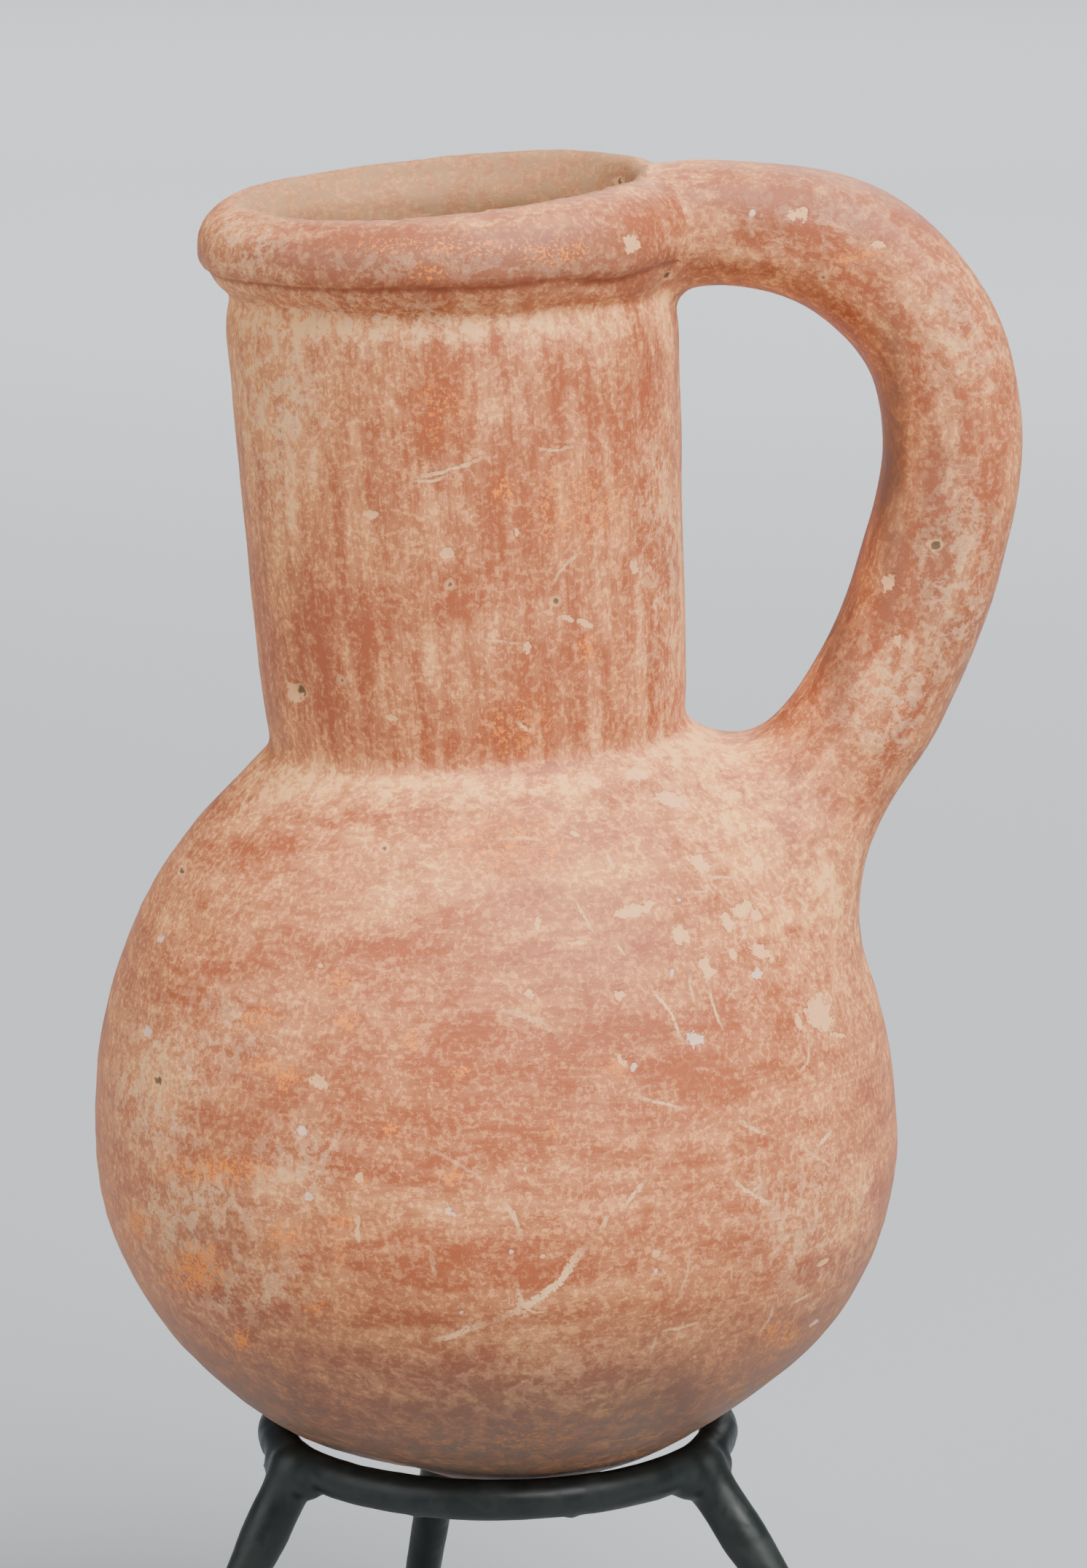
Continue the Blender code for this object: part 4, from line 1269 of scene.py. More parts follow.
def set_attribute(mesh, name, values):
    values = np.asarray(values, np.float32)
    if values.ndim == 1:
        mesh.attributes.new(name, "FLOAT", "POINT").data.foreach_set("value", values)
    else:
        attribute = mesh.attributes.new(name, "FLOAT_VECTOR", "POINT")
        attribute.data.foreach_set("vector", values.ravel())


def creases(clay, s):
    """How much deposit has gathered in the hollows: under the rim, round the neck and handle."""
    height = clay.height
    groove = np.exp(-((height - s.groove_height + 1.2 * MM) / (1.6 * MM)) ** 2) * (1 - clay.rim)
    foot = s.neck_foot_height
    below = np.exp(-((height - foot + 1.4 * MM) / (3.0 * MM)) ** 2) * fade(foot - height, 0, 0.6 * MM)
    around = np.maximum(groove, below) * (1 - clay.handle)
    root = np.exp(-(clay.seam / (4.5 * MM)) ** 2) * (clay.points[:, 0] > JOINT_SIDE)
    top = fade(-clay.handle_along, -26 * MM, -10 * MM)
    under = clay.handle * top * fade(-clay.handle_out, 3 * MM, 6 * MM)
    return np.maximum.reduce([around, 0.8 * root, 0.7 * under]) * ~clay.inside


# Painted shade, darker towards the bottom and deeper inside the neck: how strong it gets, and how far
# below the middle or the lip it starts and is complete
BASE_PAINTED_SHADE = (0.84, 3 * MM, 27 * MM)
INSIDE_PAINTED_SHADE = (0.85, 1 * MM, 14 * MM)


def add_surface_marks(mesh, s):
    """Push the clay's fine relief into the mesh, and note every mark on its points."""
    clay = Clay(mesh, s)
    points, normals = clay.points, clay.normals
    sight = Sight(mesh, points, normals)
    tone, rust, lace, painted_shade_patch = mark_tones(sight, len(points))
    strokes = seen_strokes(sight)
    beige, white, far_rust, far_tone = unseen_marks(clay, strokes)
    beige = seen_marks(sight, [row for row in CHIPS if row.white < WHITE_SHARE]) + beige
    white = seen_marks(sight, [row for row in CHIPS if row.white >= WHITE_SHARE]) + white
    chip_edge = np.full(len(points), 3.0)
    for index, marks in enumerate([*shared_out(beige, CHIP_LAYERS - 1), white]):
        places = places_in_marks(points, normals, marks)
        set_attribute(mesh, "chips_" + str(index), places)
        chip_edge = np.minimum(chip_edge, edge_distance(places))
    pits = seen_marks(sight, PITS)
    set_attribute(mesh, "pits", places_in_marks(points, normals, pits))
    for index, layer in enumerate(strokes):
        set_attribute(mesh, "scratch_" + str(index), scratch_layer(points, normals, layer))

    relief = hand_relief(clay, s) - 0.10 * MM * (1 - fade(chip_edge, -0.4, 0.3)) * ~clay.inside
    for mark, row in zip(pits, PITS):
        reach = np.linalg.norm((points - mark.place) / MM, axis=1) / mark.wide
        relief -= row.deep * MM * np.exp(-reach ** 2) * ~clay.inside

    along = np.where(clay.inside, clay.inner_along, clay.outer_along)
    set_attribute(mesh, "unrolled", np.column_stack([clay.round_place, along]) / MM)
    set_attribute(mesh, "strap", clay.strap_place / MM)
    inside = clay.inside.astype(float)
    neck = clay.neck * (1 - inside) * (1 - clay.rim)
    set_attribute(mesh, "regions", np.column_stack([neck, clay.handle, inside]))
    set_attribute(mesh, "stains", np.column_stack([
        tone + far_tone, np.maximum(rust, far_rust), creases(clay, s)]))
    patches = fade(waves(points, 16 * MM, 41), -0.2, 0.6)
    set_attribute(mesh, "lace", lace + 0.5 * patches * unseen(points, normals))
    off = fold_distance(clay, s) / MM
    set_attribute(mesh, "fold", off * (1 + 40 * clay.handle) + 20 * inside)
    # Painted shade: darker towards the bottom, deeper inside the neck and in the listed patches where
    # shade falls
    most, start, end = BASE_PAINTED_SHADE
    base = most * fade(-clay.height, start, end) * (1 - inside)
    lip = s.groove_height + s.rim_height
    most, start, end = INSIDE_PAINTED_SHADE
    depth = most * fade(lip - clay.height, start, end) * inside
    soiled = np.maximum.reduce([base, painted_shade_patch, depth])
    set_attribute(mesh, "soiled", soiled * (1 + 0.12 * waves(points, 22 * MM, 31)))
    set_points(mesh, points + normals * relief[:, None])


# Node trees

def fill(socket, value):
    """Link a socket to another one, or set its own value."""
    if isinstance(value, bpy.types.NodeSocket):
        socket.id_data.links.new(value, socket)
    else:
        socket.default_value = value


def node(tree, kind, inputs=None, **settings):
    """Add a node, set its values, and fill its inputs, which are named or numbered."""
    new = tree.nodes.new(kind)
    for name, value in settings.items():
        setattr(new, name, value)
    for name, value in (inputs or {}).items():
        fill(new.inputs[name], value)
    return new


def linked_node(kind, inputs, **settings):
    """Add a node to the tree that the sockets among its inputs belong to."""
    sockets = [value for value in inputs.values() if isinstance(value, bpy.types.NodeSocket)]
    return node(sockets[0].id_data, kind, inputs, **settings)


def maths(operation, *values, clamp=False):
    inputs = dict(enumerate(values))
    return linked_node("ShaderNodeMath", inputs, operation=operation, use_clamp=clamp).outputs[0]


def times(first, second):
    return maths("MULTIPLY", first, second)


def plus(first, second):
    return maths("ADD", first, second)


def minus(first, second):
    return maths("SUBTRACT", first, second)


def vector_maths(operation, first, second):
    inputs = {0: first, 1: second}
    return linked_node("ShaderNodeVectorMath", inputs, operation=operation).outputs[0]


def mix_colours(factor, first, second):
    inputs = {0: factor, 6: first, 7: second}
    return linked_node("ShaderNodeMix", inputs, data_type="RGBA", clamp_factor=True).outputs[2]


def mix_values(factor, first, second):
    inputs = {0: factor, 2: first, 3: second}
    return linked_node("ShaderNodeMix", inputs, data_type="FLOAT", clamp_factor=True).outputs[0]


def mix_vectors(factor, first, second):
    inputs = {0: factor, 4: first, 5: second}
    return linked_node("ShaderNodeMix", inputs, data_type="VECTOR", clamp_factor=True).outputs[1]


def weighted_sum(*parts):
    """Add up values, each times its weight."""
    products = [times(value, weight) for value, weight in parts]
    total = products[0]
    for product in products[1:]:
        total = plus(total, product)
    return total


def smooth_range(value, low, high, start=0.0, end=1.0):
    inputs = {"From Min": low, "From Max": high, "To Min": start, "To Max": end, "Value": value}
    new = linked_node("ShaderNodeMapRange", inputs, interpolation_type="SMOOTHSTEP")
    return new.outputs[0]


def noise_value(vector, scale, detail=3.0, roughness=0.5, distortion=0.0):
    inputs = {"Vector": vector, "Scale": scale, "Detail": detail, "Roughness": roughness,
              "Distortion": distortion}
    return linked_node("ShaderNodeTexNoise", inputs, noise_dimensions="3D").outputs[0]


def attribute(tree, name):
    return node(tree, "ShaderNodeAttribute", attribute_name=name, attribute_type="GEOMETRY")


def split(vector):
    return linked_node("ShaderNodeSeparateXYZ", {"Vector": vector}).outputs


def new_group(name, inputs, outputs):
    """A shader node group, from its inputs with their defaults and the names of its outputs.

    An input is a number or a vector, as its default is. Every output is a number.
    """
    group = bpy.data.node_groups.new(name, "ShaderNodeTree")
    for label, default in inputs.items():
        kind = "NodeSocketFloat" if isinstance(default, float) else "NodeSocketVector"
        socket = group.interface.new_socket(label, in_out="INPUT", socket_type=kind)
        socket.default_value = default
    for label in outputs:
        group.interface.new_socket(label, in_out="OUTPUT", socket_type="NodeSocketFloat")
    start = group.nodes.new("NodeGroupInput")
    end = group.nodes.new("NodeGroupOutput")
    return group, start.outputs, end.inputs


def use_group(group, inputs):
    return linked_node("ShaderNodeGroup", inputs, node_tree=group).outputs


def arrange(tree):
    """Lay the nodes out in columns, each to the right of all that feeds it."""
    depth = {new: 0 for new in tree.nodes}
    for _ in range(len(tree.nodes)):
        moved = False
        for link in tree.links:
            if depth[link.to_node] <= depth[link.from_node]:
                depth[link.to_node] = depth[link.from_node] + 1
                moved = True
        if not moved:
            break
    rows = {}
    for new in tree.nodes:
        column = depth[new]
        new.location = (220 * column, -260 * rows.get(column, 0))
        rows[column] = rows.get(column, 0) + 1


def strokes_group():
    """Long strokes of a burnishing pebble, with their direction set by how space is stretched."""
    group, given, wanted = new_group(
        "Burnish strokes", {"Place": (0, 0, 0), "Stretch": (1, 1, 1), "Bend": 0.4},
        ("Bands", "Fibres", "Flecks"))
    place = vector_maths("MULTIPLY", given["Place"], given["Stretch"])
    bend = noise_value(given["Place"], 0.10, 2.0)
    bend = times(minus(bend, 0.5), given["Bend"])
    place = vector_maths("ADD", place, bend)
    fill(wanted["Bands"], noise_value(place, 0.55, 3.0, 0.5, 0.3))
    fill(wanted["Fibres"], noise_value(place, 4.2, 3.0, 0.65, 0.2))
    shifted = vector_maths("ADD", place, (31.0, 17.0, 5.0))
    fill(wanted["Flecks"], noise_value(shifted, 1.5, 4.0, 0.6, 0.4))
    arrange(group)
    return group


def mottle_group():
    """Patchy cover, as of dust or deposit: a mask that grows with its density, grain and a net."""
    group, given, wanted = new_group(
        "Mottle", {"Place": (0, 0, 0), "Size": 1.0, "Density": 0.5, "Softness": 0.12},
        ("Mask", "Grain", "Net"))
    scale = maths("DIVIDE", 1.0, given["Size"])
    spots = noise_value(given["Place"], scale, 4.0, 0.62, 0.35)
    threshold = minus(1.0, given["Density"])
    low = minus(threshold, given["Softness"])
    high = plus(threshold, given["Softness"])
    stretched = smooth_range(spots, 0.25, 0.75)
    fill(wanted["Mask"], smooth_range(stretched, low, high))
    fine = times(scale, 5.5)
    fill(wanted["Grain"], noise_value(given["Place"], fine, 2.0, 0.7))
    shifted = vector_maths("ADD", given["Place"], (7.0, 3.0, 11.0))
    ridge = noise_value(shifted, scale, 3.0, 0.6, 0.8)
    ridge = maths("ABSOLUTE", minus(ridge, 0.5))
    fill(wanted["Net"], smooth_range(ridge, 0.0, 0.07, 1.0, 0.0))
    arrange(group)
    return group


def dots_group():
    """Sparse small round grains of uneven size."""
    group, given, wanted = new_group(
        "Grit dots", {"Place": (0, 0, 0), "Spacing": 3.0, "Radius": 0.15, "Share": 0.3},
        ("Mask",))
    scale = maths("DIVIDE", 1.0, given["Spacing"])
    cells = node(group, "ShaderNodeTexVoronoi", {"Vector": given["Place"], "Scale": scale})
    distance = times(cells.outputs["Distance"], given["Spacing"])
    parts = split(cells.outputs["Color"])
    size = times(given["Radius"], plus(parts[1], 0.4))
    ragged = noise_value(given["Place"], 6.0, 1.0)
    edge = plus(distance, times(ragged, 0.12))
    inner = times(size, 0.6)
    outer = times(size, 1.5)
    dot = smooth_range(edge, inner, outer, 1.0, 0.0)
    chosen = maths("LESS_THAN", parts[0], given["Share"])
    fill(wanted["Mask"], times(dot, chosen))
    arrange(group)
    return group


def scratch_group():
    """A fine line from a layer of signed distances, widths and strengths."""
    group, given, wanted = new_group(
        "Scratch lines", {"Layer": (0, 0, 0), "Ragged": 0.0, "Uneven": 0.5}, ("Mask",))
    side, width, strength = split(given["Layer"])[:3]
    wobble = times(given["Ragged"], 0.5)
    distance = maths("ABSOLUTE", plus(side, wobble))
    uneven = given["Uneven"]
    width = times(width, smooth_range(uneven, 0.2, 0.8, 0.45, 1.5))
    inner = times(width, 0.7)
    outer = plus(width, 0.07)
    line = smooth_range(distance, inner, outer, 1.0, 0.0)
    broken = smooth_range(uneven, 0.30, 0.46)
    line = times(line, times(strength, broken))
    fill(wanted["Mask"], line)
    arrange(group)
    return group


def rgba(colour):
    return (*colour, 1.0)


def covered(colour, mask, share, shade):
    """Lay a shade over a colour where a mask says, up to a share of it."""
    return mix_colours(times(mask, share), colour, rgba(shade))


def millimetre_place(tree):
    """The place on the piece in millimetres, which every size in the finishes is given in."""
    coordinates = node(tree, "ShaderNodeTexCoord").outputs["Object"]
    scaled = {"Vector": coordinates, "Scale": 1000.0}
    return node(tree, "ShaderNodeVectorMath", scaled, operation="SCALE").outputs[0]


def new_material(name):
    material = bpy.data.materials.new(name)
    material.use_nodes = True
    return material, material.node_tree


def finish_material(colour, rough, height, bump, specular):
    """Give a material its shader and its relief, and lay the nodes out.

    The bump is its strength and its depth in millimetres.
    """
    strength, depth = bump
    inputs = {"Height": height, "Strength": strength, "Distance": depth * MM}
    normal = linked_node("ShaderNodeBump", inputs).outputs[0]
    shader = linked_node("ShaderNodeBsdfPrincipled", {
        "Base Color": colour, "Roughness": rough, "Normal": normal,
        "Specular IOR Level": specular})
    linked_node("ShaderNodeOutputMaterial", {"Surface": shader.outputs[0]})
    arrange(height.id_data)


def mark_edge(tree, name, ragged):
    """Millimetres from the edge of the nearest mark of a layer, more ragged for larger marks."""
    across, upward, radius = split(attribute(tree, name).outputs["Vector"])
    squares = [times(side, side) for side in (across, upward)]
    away = maths("SQRT", plus(*squares))
    torn = plus(times(radius, 2.6), 0.15)
    torn = times(ragged, torn)
    return plus(minus(away, radius), torn)


# How the strokes of each region stretch space and bend
BODY_STROKES = ((0.09, 0.09, 0.47), 1.5)
NECK_STROKES = ((0.68, 0.68, 0.14), 0.9)
HANDLE_STROKES = ((0.62, 0.62, 0.16), 0.5)

# Mottling of the clay at three scales and of the coating: size in millimetres, density, softness
CLOUD = (5.5, 0.5, 0.42)
MOTTLE = (1.9, 0.46, 0.22)
SPECKLE = (0.62, 0.38, 0.10)
COATING_DUST = (3.0, 0.46, 0.3)

# Grit in the clay, pimples and dust specks on the coating: spacing and radius in millimetres, and
# the share of the places that hold one
GRIT = (2.9, 0.13, 0.42)
PIMPLES = (2.4, 0.28, 0.3)
DUST_SPECKS = (3.6, 0.09, 0.25)

# How pale plain clay is, from deep slip at 0 to thick deposit at 1, and how much each thing adds
PALE = {
    "middle": 0.46, "placed": 0.24, "body bands": 0.72, "neck bands": 1.10, "fibres": 0.54,
    "flecks": 0.48, "cloud": 0.12, "mottle": 0.13, "speckle": 0.27, "grain": 0.50,
    "inside": 0.16, "crease": 0.30, "lace": 0.26,
}

# How pale the surface is where each next colour starts, and where it is complete
SLIP_RANGE = (0.05, 0.42)
VEIL_RANGE = (0.30, 0.72)
DEPOSIT_RANGE = (0.62, 0.98)

# How much of the colour beneath it each kind of mark covers
COVER = {
    "dust": 0.65, "rust": 0.9, "fold": 0.62, "grit": 0.8, "bare": 0.85, "white": 0.7,
    "scratch": 0.95, "pit edge": 0.5, "soil": 0.85, "specks": 0.5,
}

# Roughness of the burnished slip, the deposit, bare clay and the inside, and of the coating where
# it is clean and where it is dusty
SLIP_ROUGHNESS, DEPOSIT_ROUGHNESS, BARE_ROUGHNESS, INSIDE_ROUGHNESS = 0.46, 0.74, 0.82, 0.85
COATING_ROUGHNESS = (0.42, 0.52)

# Strength of the bump and its depth in millimetres, and how strongly each surface reflects
CLAY_BUMP, CLAY_SPECULAR = (0.75, 0.13), 0.30
COATING_BUMP, COATING_SPECULAR = (0.5, 0.25), 0.32


def mottling(groups, place, sizes):
    size, density, softness = sizes
    return use_group(groups["mottle"], {
        "Place": place, "Size": size, "Density": density, "Softness": softness})


def dots(groups, place, sizes):
    spacing, radius, share = sizes
    return use_group(groups["dots"], {
        "Place": place, "Spacing": spacing, "Radius": radius, "Share": share})["Mask"]


def stroke_fields(tree, groups, torn, neck, handle):
    """Strokes level on the body, upright on the neck and lengthwise on the handle.

    They change from one to the other along ragged edges.
    """
    unrolled = attribute(tree, "unrolled").outputs["Vector"]
    strap = attribute(tree, "strap").outputs["Vector"]
    stretch, bend = BODY_STROKES
    for region, (region_stretch, region_bend) in ((neck, NECK_STROKES), (handle, HANDLE_STROKES)):
        there = maths("GREATER_THAN", plus(region, torn), 0.5)
        stretch = mix_vectors(there, stretch, region_stretch)
        bend = mix_values(there, bend, region_bend)
    along = mix_vectors(there, unrolled, strap)
    return use_group(groups["strokes"], {"Place": along, "Stretch": stretch, "Bend": bend})


def paleness(fields, mottles, tone, crease, upright, inside):
    """How pale the surface is, before the net of fine deposit is added.

    Placed tones, strokes, mottling and grain together, then the deposit in the creases.
    """
    cloud, mottle, speckle = mottles
    pale = times(tone, PALE["placed"])
    banding = mix_values(upright, PALE["body bands"], PALE["neck bands"])
    for value, weight in (
            (fields["Bands"], banding), (fields["Fibres"], PALE["fibres"]),
            (fields["Flecks"], PALE["flecks"]), (cloud["Mask"], PALE["cloud"]),
            (mottle["Mask"], PALE["mottle"]), (speckle["Mask"], PALE["speckle"]),
            (speckle["Grain"], PALE["grain"])):
        part = times(minus(value, 0.5), weight)
        pale = plus(pale, part)
    pale = plus(pale, PALE["middle"])
    pale = plus(pale, times(inside, PALE["inside"]))
    uneven = plus(times(mottle["Mask"], 0.6), 0.4)
    gathered = times(times(crease, uneven), PALE["crease"])
    return plus(pale, gathered)


def weathered(tree, colours, pale, laced, mottle, inside):
    """The colour of slip, veil and deposit, with the net over it, dusty inside, and darkened by
    painted shade.
    """
    colour = rgba(colours.slip_deep)
    for span, shade in (
            (SLIP_RANGE, colours.slip), (VEIL_RANGE, colours.veil),
            (DEPOSIT_RANGE, colours.deposit)):
        colour = mix_colours(smooth_range(pale, *span), colour, rgba(shade))
    colour = covered(colour, laced, COVER["dust"], colours.dust)
    within = times(inside, smooth_range(mottle["Mask"], 0, 1, 0.5, 0.85))
    colour = mix_colours(within, colour, rgba(colours.inside))
    # Painted shade, broken up a little by the mottling
    soiled = smooth_range(mottle["Mask"], 0, 1, 0.92, 0.72)
    soiled = times(attribute(tree, "soiled").outputs["Fac"], soiled)
    return mix_colours(soiled, colour, rgba(colours.soiled))


def rust_mask(mottle, speckle, rust):
    """Rust, broken up into small specks at the edges of its stains."""
    specks = weighted_sum((mottle["Grain"], 1.3), (speckle["Mask"], 0.10), (rust, 0.18))
    rusty = smooth_range(specks, 0.79, 0.93)
    return times(rusty, smooth_range(rust, 0.05, 0.4))


def fold_mask(tree, place, bands):
    """The ragged fold line under the roll of the rim: partly the slip's own dark red, partly painted
    shade in the fold.
    """
    fold = attribute(tree, "fold").outputs["Fac"]
    ragged = minus(noise_value(place, 0.9, 3.0, 0.6), 0.5)
    line = maths("ABSOLUTE", plus(fold, times(ragged, 0.8)))
    line = smooth_range(line, 0.08, 0.55, 1.0, 0.0)
    return times(line, smooth_range(bands, 0.22, 0.45))


def chipped(tree, colours, colour, torn):
    """Lay the chips on a colour. Returns the new colour, and a mask of all chips."""
    chip = None
    for index in range(CHIP_LAYERS):
        edge = mark_edge(tree, "chips_" + str(index), torn)
        mask = smooth_range(edge, -0.06, 0.06, 1.0, 0.0)
        kind = "bare" if index < CHIP_LAYERS - 1 else "white"
        colour = covered(colour, mask, COVER[kind], getattr(colours, kind))
        chip = mask if chip is None else maths("MAXIMUM", chip, mask)
    return colour, chip


def scratch_mask(tree, groups, place, torn):
    lines = None
    uneven = noise_value(place, 2.4, 2.0, 0.6)
    for index in range(SCRATCH_LAYERS):
        layer = attribute(tree, "scratch_" + str(index)).outputs["Vector"]
        mask = use_group(groups["scratch"], {
            "Layer": layer, "Ragged": torn, "Uneven": uneven})["Mask"]
        lines = mask if lines is None else maths("MAXIMUM", lines, mask)
    return lines


def pitted(tree, colours, colour, torn):
    """Lay the pits on a colour: a dark middle in each, and a bared edge round it."""
    edge = mark_edge(tree, "pits", torn)
    bared = smooth_range(edge, 0.05, 0.45, 1.0, 0.0)
    colour = covered(colour, bared, COVER["pit edge"], colours.bare)
    soil = smooth_range(edge, -0.2, 0.0, 1.0, 0.0)
    return covered(colour, soil, COVER["soil"], colours.soil)


def clay_material(colours, groups):
    material, tree = new_material("burnished clay with deposit")
    tree.nodes.clear()
    neck, handle, inside = split(attribute(tree, "regions").outputs["Vector"])
    tone, rust, crease = split(attribute(tree, "stains").outputs["Vector"])
    place = millimetre_place(tree)
    torn = minus(noise_value(place, 1.15, 3.0, 0.62), 0.5)
    fields = stroke_fields(tree, groups, torn, neck, handle)
    mottles = [mottling(groups, place, sizes) for sizes in (CLOUD, MOTTLE, SPECKLE)]
    mottle, speckle = mottles[1:]
    upright = maths("MAXIMUM", neck, handle)
    pale = paleness(fields, mottles, tone, crease, upright, inside)

    # A net of fine deposit lies where the lace attribute says
    laced = weighted_sum(
        (mottle["Net"], 0.34), (mottle["Mask"], 0.42), (speckle["Grain"], 0.62))
    lace = attribute(tree, "lace").outputs["Fac"]
    laced = times(smooth_range(laced, 0.52, 0.88), lace)
    pale = maths("ADD", pale, times(laced, PALE["lace"]), clamp=True)

    colour = weathered(tree, colours, pale, laced, mottle, inside)
    rusty = rust_mask(mottle, speckle, rust)
    colour = covered(colour, rusty, COVER["rust"], colours.rust)
    # The dark fold line under the rim, partly painted shade
    line = fold_mask(tree, place, fields["Bands"])
    colour = covered(colour, line, COVER["fold"], colours.fold)
    grit = dots(groups, place, GRIT)
    colour = covered(colour, grit, COVER["grit"], colours.bare)
    colour, chip = chipped(tree, colours, colour, torn)
    lines = scratch_mask(tree, groups, place, torn)
    colour = covered(colour, lines, COVER["scratch"], colours.scratch)
    colour = pitted(tree, colours, colour, torn)

    # Burnished slip is smoother than the deposit and the bare clay
    rough = smooth_range(pale, 0.15, 0.75, SLIP_ROUGHNESS, DEPOSIT_ROUGHNESS)
    rough = mix_values(maths("MAXIMUM", chip, lines), rough, BARE_ROUGHNESS)
    rough = mix_values(inside, rough, INSIDE_ROUGHNESS)

    height = weighted_sum(
        (mottle["Mask"], 0.16), (fields["Fibres"], 0.45), (speckle["Grain"], 0.40),
        (lines, -0.6), (chip, -0.8), (grit, 0.3))
    finish_material(colour, rough, height, CLAY_BUMP, CLAY_SPECULAR)
    return material


def coating_material(sizes, groups):
    material, tree = new_material("satin coated wire")
    tree.nodes.clear()
    place = millimetre_place(tree)
    dust = mottling(groups, place, COATING_DUST)
    pimples = dots(groups, place, PIMPLES)
    specks = dots(groups, place, DUST_SPECKS)
    colour = mix_colours(dust["Mask"], rgba(sizes.coating), rgba(sizes.worn_coating))
    colour = covered(colour, specks, COVER["specks"], sizes.dust_specks)
    flow = noise_value(place, 0.22, 2.0)
    height = weighted_sum((flow, 1.0), (pimples, 0.10), (dust["Grain"], 0.05))
    rough = smooth_range(dust["Mask"], 0.0, 1.0, *COATING_ROUGHNESS)
    finish_material(colour, rough, height, COATING_BUMP, COATING_SPECULAR)
    return material


def plain_material(name, colour, roughness):
    material, tree = new_material(name)
    shader = tree.nodes["Principled BSDF"]
    shader.inputs["Base Color"].default_value = rgba(colour)
    shader.inputs["Roughness"].default_value = roughness
    return material


def effect_groups():
    """The shared effects, built once and used in every material."""
    makers = {
        "Burnish strokes": ("strokes", strokes_group), "Mottle": ("mottle", mottle_group),
        "Grit dots": ("dots", dots_group), "Scratch lines": ("scratch", scratch_group),
    }
    groups = {}
    for name, (key, make) in makers.items():
        groups[key] = bpy.data.node_groups.get(name) or make()
    return groups


# Tripod

# Drips of coating under the ring: direction, how far below its middle line, and radius
DRIPS = (
    (radians(289), 1.35 * MM, 1.1 * MM),
    (radians(250), 1.45 * MM, 0.9 * MM),
    (radians(60), 1.35 * MM, 1.05 * MM),
)

# Points round the ring and round its wire
RING_STEPS = (160, 28)

# The coating makes a leg's top this much thicker, and a fillet of it lies on each side of the leg
COLLAR_SHARE = 1.25
FILLET_BESIDE = 3.1 * MM
FILLET_DROP = 1.5 * MM
FILLET_RADIUS = 2.15 * MM


def rod(name, start, end, start_radius, end_radius, sides=28):
    """A straight closed rod that narrows over the second eighth of its length."""
    way = (end - start).normalized()
    side = way.orthogonal().normalized()
    other = way.cross(side)
    points = []
    steps = 40
    for i in range(steps + 1):
        middle = start.lerp(end, i / steps)
        reach = min(1.0, max(0.0, (i / steps - 0.12) / 0.12))
        radius = start_radius + (end_radius - start_radius) * reach * reach * (3 - 2 * reach)
        for j in range(sides):
            angle = 2 * pi * j / sides
            points.append(middle + radius * (side * cos(angle) + other * sin(angle)))
    return new_mesh(name, points, tube_faces(steps + 1, sides))


def ball(name, middle, radius):
    cage = bmesh.new()
    bmesh.ops.create_icosphere(
        cage, subdivisions=3, radius=radius, matrix=Matrix.Translation(middle))
    mesh = bpy.data.meshes.new(name)
    cage.to_mesh(mesh)
    cage.free()
    return mesh


def ring_mesh(sizes):
    """The ring as one closed round wire."""
    around, about = RING_STEPS
    points = []
    for i in range(around):
        angle = 2 * pi * i / around
        for j in range(about):
            turn = 2 * pi * j / about
            radius = sizes.ring_radius + sizes.rod_radius * cos(turn)
            height = sizes.ring_height + sizes.rod_radius * sin(turn)
            points.append((radius * cos(angle), radius * sin(angle), height))
    faces = []
    for i in range(around):
        for j in range(about):
            a, b = i * about, ((i + 1) % around) * about
            k = (j + 1) % about
            faces.append((a + j, b + j, b + k, a + k))
    return new_mesh("ring", points, faces)


def cut_level(mesh, height):
    """Cut a closed mesh off flat at a height, keep what is above, and close the cuts."""
    cage = bmesh.new()
    cage.from_mesh(mesh)
    geometry = cage.verts[:] + cage.edges[:] + cage.faces[:]
    cut = bmesh.ops.bisect_plane(
        cage, geom=geometry, dist=0.001 * MM, plane_co=(0, 0, height), plane_no=(0, 0, 1),
        clear_inner=True)
    rim = [item for item in cut["geom_cut"] if isinstance(item, bmesh.types.BMEdge)]
    bmesh.ops.edgeloop_fill(cage, edges=rim)
    bmesh.ops.recalc_face_normals(cage, faces=cage.faces)
    cage.to_mesh(mesh)
    cage.free()


